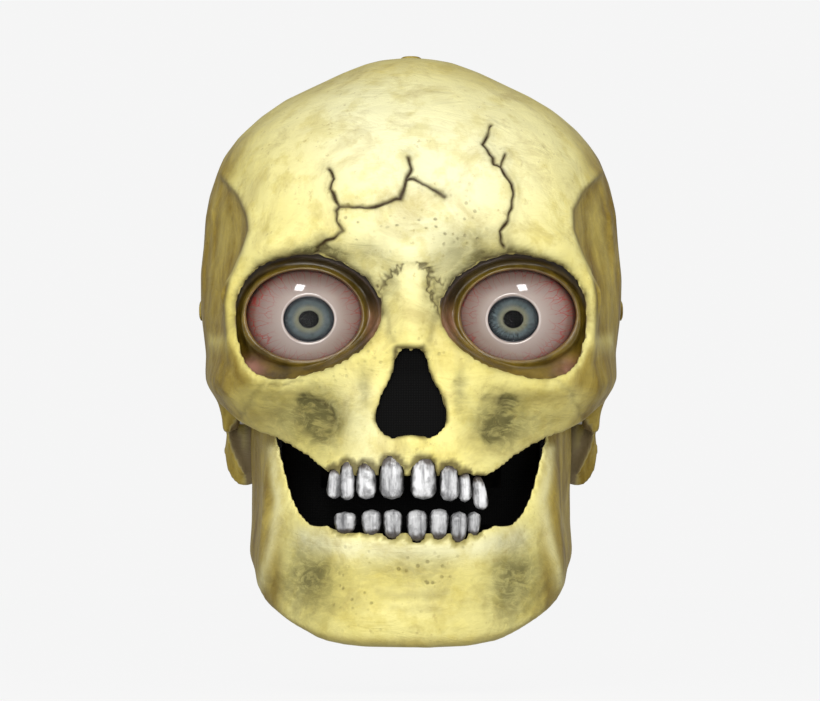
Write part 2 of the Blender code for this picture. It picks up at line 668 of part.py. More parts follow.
def eye_ring(name, side, frame):
    """A ring glued behind the eyeball's open back."""
    back = EYE_POLE_Y + EYE_DEPTH + RING_GAP
    shape = [
        (EYE_HALF_WIDTH, EYE_HALF_HEIGHT, back),
        (EYE_HALF_WIDTH, EYE_HALF_HEIGHT, back + RING_THICK),
        (EYE_HALF_WIDTH - 5 * MM, EYE_HALF_HEIGHT - 5 * MM, back + RING_THICK),
        (EYE_HALF_WIDTH - 5 * MM, EYE_HALF_HEIGHT - 5 * MM, back),
    ]
    loops = [eye_loop(oval(ru, rv, 32), side, lambda u, v, y=y: y) for ru, rv, y in shape]
    add_object(name, loft(loops, ring=True), frame, "plastic")


# ------------------------------------------------------------------------------------------------ shells


def face_shell(skin, pockets, boss_end, frame):
    """The skull without its back, open below, with the sockets, the nose opening and a boss for each hinge."""
    shell = walled(skin, "skull_shell", "bone", LATEX, frame)
    edge = [(x * MM, z * MM) for x, z in FACE_EDGE]
    below = mirrored([(0, -20 * MM), (112 * MM, -20 * MM)] + edge[::-1])
    nose = mirrored([(x * MM, z * MM) for x, z in NOSE_EDGE])
    cutters = {
        "back_cut": block((-0.2, RIM_Y, -0.1), (0.2, 0.2, 0.4)),
        "base_cut": block((-0.2, -0.2, -0.1), (0.2, 0.1, SHELL_BOTTOM)),
        "face_edge_cut": prism_y(below, -0.2, ARCH_BACK_Y),
        "mastoid_cut": block((-0.2, ARCH_BACK_Y - 1 * MM, -0.1), (0.2, MASTOID_FRONT_Y, MASTOID_TOP)),
        "nose_cut": prism_y(nose, -0.2, -0.05),
    }
    for side_name, side in SIDES:
        boss = hinge_bore(side, BOSS_RADIUS, BOSS_X, boss_end - BOSS_X)
        boolean(shell, add_object(f"boss_{side_name}", boss, frame), "UNION")
        edge = socket_points(0)
        loops = [eye_loop(edge, side, lambda u, v, y=y: y) for y in (-0.2, -0.05)]
        cutters[f"socket_cut_{side_name}"] = loft(loops)
        hole = (STUD_SHANK_RADIUS + GLUE_GAP, BOSS_X - 1 * MM, STUD_TAIL + 2 * MM)
        cutters[f"stud_hole_{side_name}"] = hinge_bore(side, *hole)
    for name, bm in cutters.items():
        boolean(shell, add_object(name, bm, frame), "DIFFERENCE")
    for side_name, side in SIDES:
        x, y, z = (v * MM for v in MASTOID_CENTRE)
        lump = ellipsoid((side * x, y, z), [r * MM for r in MASTOID_RADII], subdivisions=3)
        boolean(shell, add_object(f"mastoid_{side_name}", lump, frame), "UNION")
    for pocket in pockets:
        boolean(shell, pocket, "DIFFERENCE")
    return shell


def hinge_bore(side, radius, x, length):
    """A cylinder on the hinge axis, from a distance outwards."""
    return turned([(radius, 0), (radius, length)], (side * x, HINGE_Y, HINGE_Z), (side, 0, 0))


def jaw_shell(skin, pockets, frame):
    shell = walled(skin, "jaw_shell", "bone", LATEX, frame)
    outline = [(y * MM, z * MM) for y, z in JAW_SIDE + JAW_SIDE_FRONT]
    boolean(shell, add_object("jaw_side_keep", prism_x(outline, -0.2, 0.2), frame), "INTERSECT")
    half_width, depth = (v * MM for v in FLOOR_OPENING)
    turns = [math.pi * i / 16 for i in range(17)]
    plan = [(half_width * math.cos(a), -depth * math.sin(a) ** 0.8) for a in turns]
    plan += [(-half_width, 0.1), (half_width, 0.1)]
    floor = loft([[(x, y, z) for x, y in plan] for z in (-0.05, 0.045)])
    boolean(shell, add_object("jaw_floor_cut", floor, frame), "DIFFERENCE")
    mouth = mirrored([(x * MM, z * MM) for x, z in JAW_EDGE + [(0, 150)]])
    boolean(shell, add_object("mouth_cut", prism_y(mouth, -0.2, 0.1), frame), "DIFFERENCE")
    for side_name, side in SIDES:
        bore = hinge_bore(side, STUD_SHANK_RADIUS + RUNNING_GAP, RAMUS_OUT - 10 * MM, 20 * MM)
        boolean(shell, add_object(f"jaw_bore_{side_name}", bore, frame), "DIFFERENCE")
    for pocket in pockets:
        boolean(shell, pocket, "DIFFERENCE")
    return shell


def fitted(name, bm, cavity, frame, finish):
    """A piece trimmed to lie against the inside of a shell."""
    piece = add_object(name, bm, frame, finish)
    boolean(piece, cavity, "INTERSECT")
    return piece


# ------------------------------------------------------------------------------------------------ hinge and elastics


def hinge_stud(name, side, frame):
    """Glued in the boss: flange against it, a shoulder to the jaw, and a shank through the jaw into the cap."""
    shank_end = RAMUS_OUT - LATEX - CAP_GAP - CAP_THICK + 0.8 * MM
    shoulder_end = RAMUS_OUT + RUNNING_GAP
    flange_out = BOSS_X - GLUE_GAP
    flange_in = flange_out - STUD_FLANGE[1]
    profile = [
        (STUD_SHANK_RADIUS, shank_end),
        (STUD_SHANK_RADIUS, shoulder_end),
        (STUD_SHOULDER_RADIUS, shoulder_end),
        (STUD_SHOULDER_RADIUS, flange_in),
        (STUD_FLANGE[0], flange_in),
        (STUD_FLANGE[0], flange_out),
        (STUD_SHANK_RADIUS, flange_out),
        (STUD_SHANK_RADIUS, BOSS_X + STUD_TAIL),
    ]
    add_object(name, turned(profile, (0, HINGE_Y, HINGE_Z), (side, 0, 0)), frame, "metal")


def hinge_cap(name, side, frame):
    """Holds the jaw on the stud, and is pressed on the stud's end."""
    outer = RAMUS_OUT - LATEX - CAP_GAP
    inner = outer - CAP_THICK
    profile = [(CAP_RADIUS - 1 * MM, inner), (CAP_RADIUS, inner + 1 * MM), (CAP_RADIUS, outer)]
    cap = add_object(name, turned(profile, (0, HINGE_Y, HINGE_Z), (side, 0, 0)), frame, "plastic")
    bore = hinge_bore(side, STUD_SHANK_RADIUS + GLUE_GAP, inner + 0.5 * MM, CAP_THICK)
    boolean(cap, add_object(name + "_bore", bore, frame), "DIFFERENCE")


def headed_peg(side, z):
    """A headed peg for the elastic, pointing to the middle of the mask, as far out as the shell."""
    head_in = ELASTIC_X - ELASTIC_RADIUS - 1 * MM - PEG_HEAD[1]
    profile = [
        (PEG_HEAD[0], head_in),
        (PEG_HEAD[0], head_in + PEG_HEAD[1]),
        (PEG_RADIUS, head_in + PEG_HEAD[1]),
        (PEG_RADIUS, ELASTIC_X + ELASTIC_RADIUS + 1 * MM),
        (PEG_HEAD[0], ELASTIC_X + ELASTIC_RADIUS + 2 * MM),
        (PEG_HEAD[0], 110 * MM),
    ]
    return turned(profile, (0, ELASTIC_Y, z), (side, 0, 0), segments=16)


def jaw_elastic(name, side, frame):
    """A loop of cord round the two pegs."""
    loops = []
    for middle_z, start in ((ELASTIC_TOP_Z, 0), (ELASTIC_LOW_Z, math.pi)):
        for i in range(9):
            a = start + math.pi * i / 8
            loop = []
            for out, up in oval(ELASTIC_RADIUS, ELASTIC_RADIUS, 10):
                reach = ELASTIC_LOOP + out
                loop.append((side * (ELASTIC_X + up), ELASTIC_Y + reach * math.cos(a), middle_z + reach * math.sin(a)))
            loops.append(loop)
    add_object(name, loft(loops, ring=True), frame, "cord")


# ------------------------------------------------------------------------------------------------ scrims, pads, sling


def nose_scrim(cavity, frame):
    """Black mesh glued behind the nose opening."""
    scrim = walled(cavity, "nose_scrim", "black", SCRIM_THICK, frame)
    middle = (NOSE_EDGE[0][1] + NOSE_EDGE[-1][1]) / 2
    grown = [(x * NOSE_SCRIM_GROWTH * MM, (middle + (z - middle) * NOSE_SCRIM_GROWTH) * MM) for x, z in NOSE_EDGE]
    window = add_object("nose_scrim_window", prism_y(mirrored(grown), -0.2, -0.06), frame)
    boolean(scrim, window, "INTERSECT")


def mouth_scrim(frame):
    """A curtain of black mesh inside the jaw, hung from the inside of the face shell, so that the mouth looks empty."""
    columns = 24
    wing_x, wing_y = MOUTH_SCRIM_WING
    outer, inner = [], []
    for row, (z, front) in enumerate(MOUTH_SCRIM_ROWS):
        lift = MOUTH_SCRIM_SIDE_RISE if row == len(MOUTH_SCRIM_ROWS) - 1 else 0
        for rows, grow in ((outer, 0), (inner, -SCRIM_THICK)):
            points = [(wing_x, wing_y - grow, z * MM + lift)]
            for column in range(columns + 1):
                a = math.pi * column / columns
                x = (MOUTH_SCRIM_HALF_WIDTH + grow) * math.cos(a)
                y = MOUTH_SCRIM_BACK_Y - (MOUTH_SCRIM_BACK_Y - front * MM + grow) * math.sin(a)
                points.append((x, y, z * MM + lift * math.cos(a) ** 2))
            points.append((-wing_x, wing_y - grow, z * MM + lift))
            rows.append(points)
    loops = [out + back[::-1] for out, back in zip(outer, inner)]
    add_object("mouth_scrim", loft(loops), frame, "black")


def chin_sling(cavity, frame):
    """A webbing band across the jaw that takes the wearer's chin."""
    loops = []
    steps = 16
    for i in range(steps + 1):
        share = 2 * i / steps - 1
        x = share * SLING_HALF_SPAN
        z = SLING_TOP_Z - SLING_DROP * (1 - share**2)
        slope = math.atan(2 * SLING_DROP * share / SLING_HALF_SPAN)
        low, high = SLING_Y - SLING_WIDTH / 2, SLING_Y + SLING_WIDTH / 2
        dx = -math.sin(slope) * SLING_THICK / 2
        dz = math.cos(slope) * SLING_THICK / 2
        loops.append(
            [(x - dx, low, z - dz), (x - dx, high, z - dz), (x + dx, high, z + dz), (x + dx, low, z + dz)]
        )
    fitted("chin_sling", loft(loops), cavity, frame, "webbing")


# ------------------------------------------------------------------------------------------------ harness


def arc_strip(start, end, half_height, thick, step=5):
    """A strip that follows the strap's circle, from one angle to another, in degrees behind the widest section."""
    count = max(2, round((end - start) / step))
    loops = []
    for i in range(count + 1):
        a = math.radians(start + (end - start) * i / count)
        across = [(STRAP_RADIUS + t) for t in (-thick / 2, thick / 2)]
        low, high = STRAP_Z - half_height, STRAP_Z + half_height
        corners = [(across[0], low), (across[1], low), (across[1], high), (across[0], high)]
        loops.append([(r * math.cos(a), r * math.sin(a), z) for r, z in corners])
    return loft(loops)


def sleeve(name, start, end, frame, finish):
    """A flat tube round the strap."""
    half = STRAP_WIDTH / 2 + SLEEVE_GAP
    inside = STRAP_THICK + 2 * SLEEVE_GAP
    outer = arc_strip(start, end, half + SLEEVE_THICK, inside + 2 * SLEEVE_THICK)
    made = add_object(name, outer, frame, finish)
    way = add_object(name + "_way", arc_strip(start - 5, end + 5, half, inside), frame)
    boolean(made, way, "DIFFERENCE")
    return made


def crown_strap(frame):
    """From inside the top of the shell over the head to a sleeve round the back strap."""
    reach_y, reach_z = CROWN_STRAP_REACH
    start = math.asin(CROWN_STRAP_START / reach_y)
    rows = []
    for i in range(15):
        a = start + (math.pi / 2 - start) * i / 14
        rows.append((reach_y * math.sin(a), CROWN_STRAP_CENTRE_Z + reach_z * math.cos(a), math.sin(a), math.cos(a)))
    rows.append((reach_y, STRAP_Z + STRAP_WIDTH / 2 + SLEEVE_GAP + SLEEVE_THICK / 2, 1, 0))
    half = CROWN_STRAP_WIDTH / 2
    thick = STRAP_THICK / 2
    loops = []
    for y, z, ny, nz in rows:
        out = (y + ny * thick, z + nz * thick)
        back = (y - ny * thick, z - nz * thick)
        loops.append([(-half, *out), (half, *out), (half, *back), (-half, *back)])
    strap = add_object("crown_strap", loft(loops), frame, "webbing")
    span = math.degrees(CROWN_STRAP_WIDTH / 2 / STRAP_RADIUS)
    boolean(strap, sleeve("crown_sleeve", 90 - span, 90 + span, frame, None), "UNION")
    return strap


def rivet(name, place, normal, strap_inner, holed, frame):
    """A rivet through the shell and a strap, with its cap inside. The place is on the shell's outer surface."""
    head_low = RIVET_HEAD_GAP
    cap_high = strap_inner - GLUE_GAP
    profile = [
        (RIVET_RADIUS, cap_high - 0.6 * MM),
        (RIVET_RADIUS, head_low),
        (RIVET_HEAD[0], head_low),
        (RIVET_HEAD[0], head_low + RIVET_HEAD[1] / 2),
        (RIVET_HEAD[0] - 1 * MM, head_low + RIVET_HEAD[1]),
    ]
    add_object(name, turned(profile, place, normal), frame, "metal")
    cap = add_object(
        name + "_cap",
        turned([(RIVET_CAP[0], cap_high - RIVET_CAP[1]), (RIVET_CAP[0], cap_high)], place, normal),
        frame,
        "metal",
    )
    bore = add_object(
        name + "_bore",
        turned([(RIVET_RADIUS + GLUE_GAP, cap_high - 0.8 * MM), (RIVET_RADIUS + GLUE_GAP, 5 * MM)], place, normal),
        frame,
    )
    for piece in [cap, *holed]:
        boolean(piece, bore, "DIFFERENCE")


def main():
    for obj in list(bpy.data.objects):
        bpy.data.objects.remove(obj)
    skull = bpy.data.objects.new("mask_frame", None)
    jaw = bpy.data.objects.new("jaw_frame", None)
    slider = bpy.data.objects.new("slider_frame", None)
    for empty in (skull, jaw, slider):
        bpy.context.scene.collection.objects.link(empty)
    low, high = (np.array(corner) * MM for corner in CROWN_PAD)
    skull.location = (0, -(low[1] + high[1]) / 2, -low[2])
    jaw.parent = slider.parent = skull
    jaw.location = (0, HINGE_Y, HINGE_Z)
    slider.location = (0, 0, STRAP_Z)

    skull_skin = shaped_skin("skull_skin", SKULL_SECTIONS, 0, SKULL_SWELLINGS, SKULL_RIDGES, SKULL_SHARE, skull)
    jaw_skin = shaped_skin("jaw_skin", JAW_SECTIONS, JAW_SLOPE, JAW_SWELLINGS, JAW_RIDGES, JAW_SHARE, jaw)
    skull_cavity = inside_of(skull_skin, "skull_cavity", LATEX + GLUE_GAP, SKULL_INSIDE[0], SKULL_INSIDE[1], skull)
    jaw_cavity = inside_of(jaw_skin, "jaw_cavity", LATEX + GLUE_GAP, JAW_INSIDE[0], JAW_INSIDE[1], jaw)

    inner_depth = depth_finder(skull_cavity)
    upper = teeth_row("upper_tooth", UPPER_TEETH, depth_finder(skull_skin), True, skull)
    lower = teeth_row("lower_tooth", LOWER_TEETH, depth_finder(jaw_skin), False, jaw)
    skull_surface = surface_finder(skull_skin)
    boss_face, _ = skull_surface((0, HINGE_Y, HINGE_Z), (1, 0, 0))
    shell = face_shell(skull_skin, upper, boss_face.x - BOSS_SINK, skull)
    jaw_shell(jaw_skin, lower, jaw)
    tooth_bar("upper_tooth_bar", skull_cavity, UPPER_BAR, upper, skull)
    tooth_bar("lower_tooth_bar", jaw_cavity, LOWER_BAR, lower, jaw)

    for side_name, side in SIDES:
        eyeball(f"eyeball_{side_name}", side, skull)
        iris(f"iris_{side_name}", side, skull)
        cornea(f"cornea_{side_name}", side, skull)
        pupil_screen(f"pupil_screen_{side_name}", side, skull)
        eyelids(f"eyelids_{side_name}", side, inner_depth, skull)
        eye_ring(f"eye_ring_{side_name}", side, skull)
        hinge_stud(f"hinge_stud_{side_name}", side, skull)
        hinge_cap(f"hinge_cap_{side_name}", side, skull)
        fitted(f"upper_peg_{side_name}", headed_peg(side, ELASTIC_TOP_Z), skull_cavity, skull, "plastic")
        fitted(f"lower_peg_{side_name}", headed_peg(side, ELASTIC_LOW_Z), jaw_cavity, jaw, "plastic")
        jaw_elastic(f"jaw_elastic_{side_name}", side, skull)
        pad_low, pad_high = (Vector(corner) * MM for corner in CHEEK_PAD)
        if side < 0:
            pad_low.x, pad_high.x = -pad_high.x, -pad_low.x
        fitted(f"cheek_pad_{side_name}", block(pad_low, pad_high), skull_cavity, skull, "foam")

    nose_scrim(skull_cavity, skull)
    mouth_scrim(skull)
    fitted("crown_pad", block(*(Vector(corner) * MM for corner in CROWN_PAD)), skull_cavity, skull, "foam")
    fitted("forehead_pad", block(*(Vector(corner) * MM for corner in FOREHEAD_PAD)), skull_cavity, skull, "foam")
    chin_sling(jaw_cavity, jaw)

    back_strap = add_object(
        "back_strap", arc_strip(STRAP_START, 180 - STRAP_START, STRAP_WIDTH / 2, STRAP_THICK), skull, "webbing"
    )
    sleeve("strap_slider", SLIDER_ANGLE - SLIDER_SPAN / 2, SLIDER_ANGLE + SLIDER_SPAN / 2, slider, "plastic")
    strap = crown_strap(skull)
    angle = math.asin(RIVET_Y / STRAP_RADIUS)
    for side_name, side in SIDES:
        out = Vector((side * math.cos(angle), math.sin(angle), 0))
        place, _ = skull_surface((0, 0, STRAP_Z), out)
        depth = STRAP_RADIUS - STRAP_THICK / 2 - math.hypot(place.x, place.y)
        rivet(f"strap_rivet_{side_name}", place, out, depth, [shell, back_strap], skull)
    reach_y, reach_z = CROWN_STRAP_REACH
    turn = math.asin(RIVET_Y / reach_y)
    out = Vector((0, math.sin(turn), math.cos(turn)))
    middle = Vector((0, reach_y * math.sin(turn), CROWN_STRAP_CENTRE_Z + reach_z * math.cos(turn)))
    place, _ = skull_surface(middle, out)
    depth = -(place - middle).length - STRAP_THICK / 2
    rivet("crown_rivet", place, out, depth, [shell, strap], skull)


main()
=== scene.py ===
"""Latex skull mask with glass-like eyes, a moving jaw and an elastic harness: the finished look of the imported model.

Sizes are in metres in the model's own frame. Most shapes are laid out in face millimetres: across from the
middle line, back from the widest section, and up from the chin. Left and right are the wearer's, so left is +X.
"""

import math

import bmesh
import bpy
import numpy as np
from bpy.props import FloatProperty, FloatVectorProperty, PointerProperty
from mathutils import Matrix, Vector, noise


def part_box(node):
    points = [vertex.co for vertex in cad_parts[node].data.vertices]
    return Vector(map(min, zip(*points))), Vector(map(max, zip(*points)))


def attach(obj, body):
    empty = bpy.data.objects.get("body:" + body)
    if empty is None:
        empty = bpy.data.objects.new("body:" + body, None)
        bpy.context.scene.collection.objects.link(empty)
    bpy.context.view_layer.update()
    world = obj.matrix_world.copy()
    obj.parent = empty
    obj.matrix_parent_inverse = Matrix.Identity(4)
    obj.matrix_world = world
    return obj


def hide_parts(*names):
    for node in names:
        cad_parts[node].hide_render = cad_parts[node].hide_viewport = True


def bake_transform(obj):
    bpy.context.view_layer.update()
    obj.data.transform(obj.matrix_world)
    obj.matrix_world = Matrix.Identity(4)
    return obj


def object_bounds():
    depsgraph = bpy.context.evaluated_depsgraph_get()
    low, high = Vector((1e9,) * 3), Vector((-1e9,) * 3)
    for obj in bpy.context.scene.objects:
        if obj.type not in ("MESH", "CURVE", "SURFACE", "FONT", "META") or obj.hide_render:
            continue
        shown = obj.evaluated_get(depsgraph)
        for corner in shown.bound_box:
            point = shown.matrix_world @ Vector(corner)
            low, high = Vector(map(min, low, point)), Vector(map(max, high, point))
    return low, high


bl_info = {
    "name": "Latex Skull Mask",
    "version": (1, 0, 0),
    "blender": (4, 5, 0),
    "location": "View3D > Sidebar > Skull Mask",
    "description": "Builds the finished pieces of a latex skull mask on its packed frame",
    "category": "Object",
}

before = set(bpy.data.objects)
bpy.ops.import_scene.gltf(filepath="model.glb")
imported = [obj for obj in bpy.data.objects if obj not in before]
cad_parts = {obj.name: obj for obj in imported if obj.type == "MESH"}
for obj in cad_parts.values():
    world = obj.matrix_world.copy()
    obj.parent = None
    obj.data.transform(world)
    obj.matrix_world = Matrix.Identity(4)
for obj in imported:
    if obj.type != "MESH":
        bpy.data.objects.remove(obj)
CAD_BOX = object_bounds()
MM = 0.001
JAW_DROP = 0.022  # how far the chin goes below the rest of the mask when the jaw opens
CHIN = Vector((0, 0.032, -0.273))
SIDES = (("left", 1), ("right", -1))

# Cracks in the forehead, as points across and up
CRACKS = [
    [(-40.3, 234), (-37.8, 229), (-39.8, 224.1), (-37.4, 220.2), (-34.9, 215.8), (-27.5, 215.3), (-17.7, 215.3),
     (-12.8, 217.7), (-5.4, 219.2), (-3.4, 225.1), (-2, 228.5), (2, 229), (5.4, 226.1), (11.8, 223.6), (16.7, 220.2)],
    [(-2, 228.5), (0, 234), (-1, 239.9)],
    [(-34.9, 215.8), (-36.9, 213.3), (-36.4, 208.4), (-33.4, 203.5), (-37.4, 200.5), (-42.3, 198.1), (-45.7, 194.6),
     (-45.7, 190.7)],
    [(39.3, 255.6), (37.4, 250.2), (35.4, 246.2), (37.4, 243.8), (39.8, 240.3), (40.8, 236.4), (43.7, 234.9),
     (46.2, 231.5), (49.6, 226.6), (50.1, 220.7), (49.1, 215.3), (47.7, 209.4), (43.7, 203.5), (44.2, 199.5),
     (45.7, 195.6)],
    [(43.7, 234.9), (46.2, 241.3)],
]
# Jagged sutures at the root of the nose
SUTURES = [[(-17.5, 172), (-14, 178), (-10, 183), (-5, 185.5)], [(3, 186.5), (8, 185.5), (11, 181), (15.5, 177)],
           [(9.5, 182), (8.5, 177), (10, 171), (14, 165)]]
# Edge of a socket about the middle of its eye: outwards from the nose, and up
SOCKET = [(5, 30), (24, 24), (34, 11), (35, -5), (30, -23), (16, -29.5), (-8, -25), (-28, -13), (-35.5, 2),
          (-29, 17.5), (-12, 28), (5, 30)]
# Edge of the temple hollow on each side, from the top down
TEMPLE_EDGES = [
    [(-96.3, 236), (-84, 221.7), (-79.1, 211.8), (-78.1, 204.5), (-80.6, 197.1), (-85, 188.7), (-88.5, 180),
     (-90, 168), (-89.5, 157.8), (-88, 148)],
    [(94, 234), (83.1, 224.1), (78.1, 214.3), (78.1, 204.5), (82.1, 194.6), (88, 184.8), (89.5, 170.1), (89.5, 157.8),
     (88, 148)],
]
# Grooves: points across and up, half width, depth, darkness
SKULL_GROOVES = [
    ([(-15.2, 172), (-13.5, 178), (-10.3, 182.3), (-5.4, 184.8), (0.5, 185.8), (6.9, 185.8), (11.8, 180.9),
      (14.3, 170.1)], 1.4, 0.6, 0.12),
    ([(-15.5, 171), (-13, 164), (-11.3, 158), (-9.5, 150)], 1.2, 0.6, 0.3),
    ([(14.5, 170), (12.5, 162), (11, 156), (9, 150)], 1.2, 0.6, 0.3),
    ([(-43.7, 200), (-43.7, 190)], 2.6, 1.5, 0.45),
    ([(33.9, 197), (34.5, 191)], 2.2, 1.2, 0.3),
    ([(48.7, 196), (49.5, 190.5)], 2.4, 1.2, 0.35),
    ([(-47, 121), (-43, 120), (-40, 116), (-39, 110)], 1.0, 0.9, 0.4),
    ([(-70, 128), (-62, 128.5), (-54, 131)], 0.7, 0.6, 0.45),
    ([(36, 121), (42, 121.5), (47, 119)], 0.9, 0.8, 0.35),
    ([(-71, 131), (-77, 124), (-84, 112)], 1.0, 0.6, 0.25),
    ([(71, 131), (78, 124), (85, 112)], 1.0, 0.6, 0.25),
    ([(-92, 139), (-95, 128), (-93, 118)], 1.4, 0.7, 0.2),
    ([(92, 139), (95, 128), (93, 118)], 1.4, 0.7, 0.2),
]
JAW_GROOVES = [
    ([(-16, 27), (-8, 25), (0, 26.5), (9, 25), (17, 27.5)], 1.4, 0.7, 0.2),
    ([(-10, 20), (-2, 18.5), (6, 19.5), (14, 18)], 1.1, 0.5, 0.15),
    ([(-70, 33), (-62, 24), (-56, 17)], 1.0, 0.5, 0.2),
    ([(-66, 35), (-59, 27), (-52, 20)], 0.9, 0.4, 0.15),
    ([(70, 33), (62, 24), (56, 17)], 1.0, 0.5, 0.2),
    ([(66, 35), (59, 27), (52, 20)], 0.9, 0.4, 0.15),
]
# Hollows and swellings: across, up, spread across and up, height, and painted shade in olive
SKULL_HOLLOWS = [
    (-52, 112, 16, 11, -0.8, 0.85), (50, 110, 15, 10, -0.8, 0.7), (-42, 109, 6, 11, -0.6, 0.6),
    (42, 108, 7, 10, -0.6, 0.5), (-23, 126, 2.6, 8, -0.8, 0.55), (24, 126, 2.6, 8, -0.8, 0.6),
    (-24, 193, 10, 5, -0.6, 0.5), (24, 190, 8, 6, -0.6, 0.6), (-76, 124, 7, 4, -0.5, 0.3),
    (32, 201, 14, 5, -0.5, 0.45), (-44, 194, 6, 3, 0, 0.9),
    (-10, 178, 3, 6, -0.8, 0.55), (11, 177, 4, 8, -0.8, 0.6), (-50.6, 119.9, 2.6, 2.0, -1.0, 1.6),
    (48.7, 119.9, 2.6, 2.0, -1.0, 1.6), (38.8, 103.7, 2.2, 1.8, -1.2, 0.9), (0, 167, 9, 14, 1.2, 0),
    (-92, 196, 8, 22, -2.2, 0), (92, 196, 8, 22, -2.2, 0), (-66, 196, 10, 4, 1.0, 0), (66, 196, 10, 4, 1.0, 0),
    (-24, 108, 5, 9, 0.8, 0), (22, 108, 5, 9, 0.8, 0),
]
JAW_HOLLOWS = [
    (-46, 33, 7, 15, -0.9, 0.62), (-58, 38, 7, 14, -0.9, 0.45), (46, 33, 7, 15, -0.9, 0.7),
    (58, 38, 7, 14, -0.9, 0.5), (-10, 32, 26, 9, 0, 0.22), (24, 22, 10, 8, 0, 0.2), (-30, 20, 8, 6, 0, 0.15),
    (7, 13, 18, 7, 1.0, 0), (-40, 12, 12, 6, 0.8, 0),
    (-12, 40, 14, 5, -0.5, 0.25), (14, 42, 12, 5, -0.5, 0.25),
]
# Front edge of the jaw's rising branch, and the edge of the nose opening
RAMUS_LINE = [(67.8, 96.3), (66.4, 81.6), (64.4, 71.8), (67.8, 52.1), (70.3, 42.3), (73.2, 30)]
NOSE_LINE = [(-6.9, 146.5), (-8.8, 132.7), (-13.8, 122.4), (-17, 114), (-16.7, 111.1), (-12.8, 104.9), (-8.8, 103.2),
             (-1, 104.2), (6.9, 103.2), (12.5, 106.2), (16.7, 110.6), (16.7, 114.7), (15.5, 121.4), (12.5, 127.5),
             (8.8, 134.2), (5.4, 146.5), (-6.9, 146.5)]


# ---------------------------------------------------------------------------------------------------- settings


def colour_setting(name, description, default):
    return FloatVectorProperty(name=name, description=description, default=default, size=3, subtype="COLOR",
                               min=0, max=1)


def length_setting(name, description, default):
    return FloatProperty(name=name, description=description, default=default, unit="LENGTH", min=0)


class ShellSettings(bpy.types.PropertyGroup):
    grain: length_setting("Grain", "Size of the cells that the latex shells are modelled with", 1.75 * MM)
    crack_depth: length_setting("Crack depth", "How deep the cracks in the forehead go", 1.1 * MM)
    crack_width: length_setting("Crack width", "Half width of a crack", 0.75 * MM)
    paint: colour_setting("Paint", "Bone colour of the raised places", (1.0, 0.90, 0.34))
    deep_paint: colour_setting("Deep paint", "Bone colour of the uneven places", (0.93, 0.80, 0.23))
    # Ochre is the temples' paint and also painted shade on the sides and undersides.
    ochre: colour_setting("Ochre", "Airbrushed colour of the sides and temples", (0.24, 0.15, 0.014))
    # Olive is painted shade in the hollows and round the sockets.
    olive: colour_setting("Olive", "Airbrushed colour of the hollows", (0.13, 0.115, 0.038))
    latex: colour_setting("Latex", "Unpainted latex inside the shells", (0.24, 0.18, 0.09))


class EyeSettings(bpy.types.PropertyGroup):
    white: colour_setting("White", "Middle of the eyeball", (0.37, 0.30, 0.265))
    flush: colour_setting("Flush", "Bloodshot rim of the eyeball", (0.19, 0.095, 0.075))
    iris: colour_setting("Iris", "Fibres of the iris", (0.022, 0.028, 0.027))
    lid: colour_setting("Lid", "Lids round the eyes", (0.052, 0.031, 0.002))
    flesh: colour_setting("Flesh", "Corners of the eyes", (0.17, 0.065, 0.045))


class FittingSettings(bpy.types.PropertyGroup):
    tooth: colour_setting("Tooth", "Front of the teeth", (0.86, 0.86, 0.87))
    webbing: colour_setting("Webbing", "Straps and chin sling", (0.022, 0.022, 0.025))
    foam: colour_setting("Foam", "Cloth over the pads", (0.055, 0.056, 0.062))
    strap_sides: length_setting("Strap edge", "Rounding of a strap's edges", 0.5 * MM)


class StageSettings(bpy.types.PropertyGroup):
    lens: FloatProperty(name="Lens", description="Focal length in millimetres on a 36 mm sensor", default=600, min=50)
    field: length_setting("Field", "Width of the view at the mask", 0.403)
    key_power: FloatProperty(name="Key", description="Watts of the front light", default=17, min=0)
    window_power: FloatProperty(name="Windows", description="Watts of the light on each eye", default=0.9, min=0)
    room: FloatProperty(name="Room light", description="Strength of the light from all round", default=0.40, min=0)
    backdrop: FloatProperty(name="Backdrop", description="Brightness behind the mask", default=0.915, min=0)
    floor_glow: FloatProperty(name="Floor glow", description="Light given off by the floor", default=0.885, min=0)
    floor_tint: colour_setting("Floor", "Colour of the floor", (0.03, 0.03, 0.03))
    floor_radius: length_setting("Floor radius", "Radius of the round floor", 2.6)


class MaskSettings(bpy.types.PropertyGroup):
    shell: PointerProperty(type=ShellSettings, name="Shells", description="Latex shells")
    eye: PointerProperty(type=EyeSettings, name="Eyes", description="Eyes and lids")
    fitting: PointerProperty(type=FittingSettings, name="Fittings", description="Teeth, pads and harness")
    stage: PointerProperty(type=StageSettings, name="Stage", description="Floor, lights and camera")


# ---------------------------------------------------------------------------------------------------- finishes


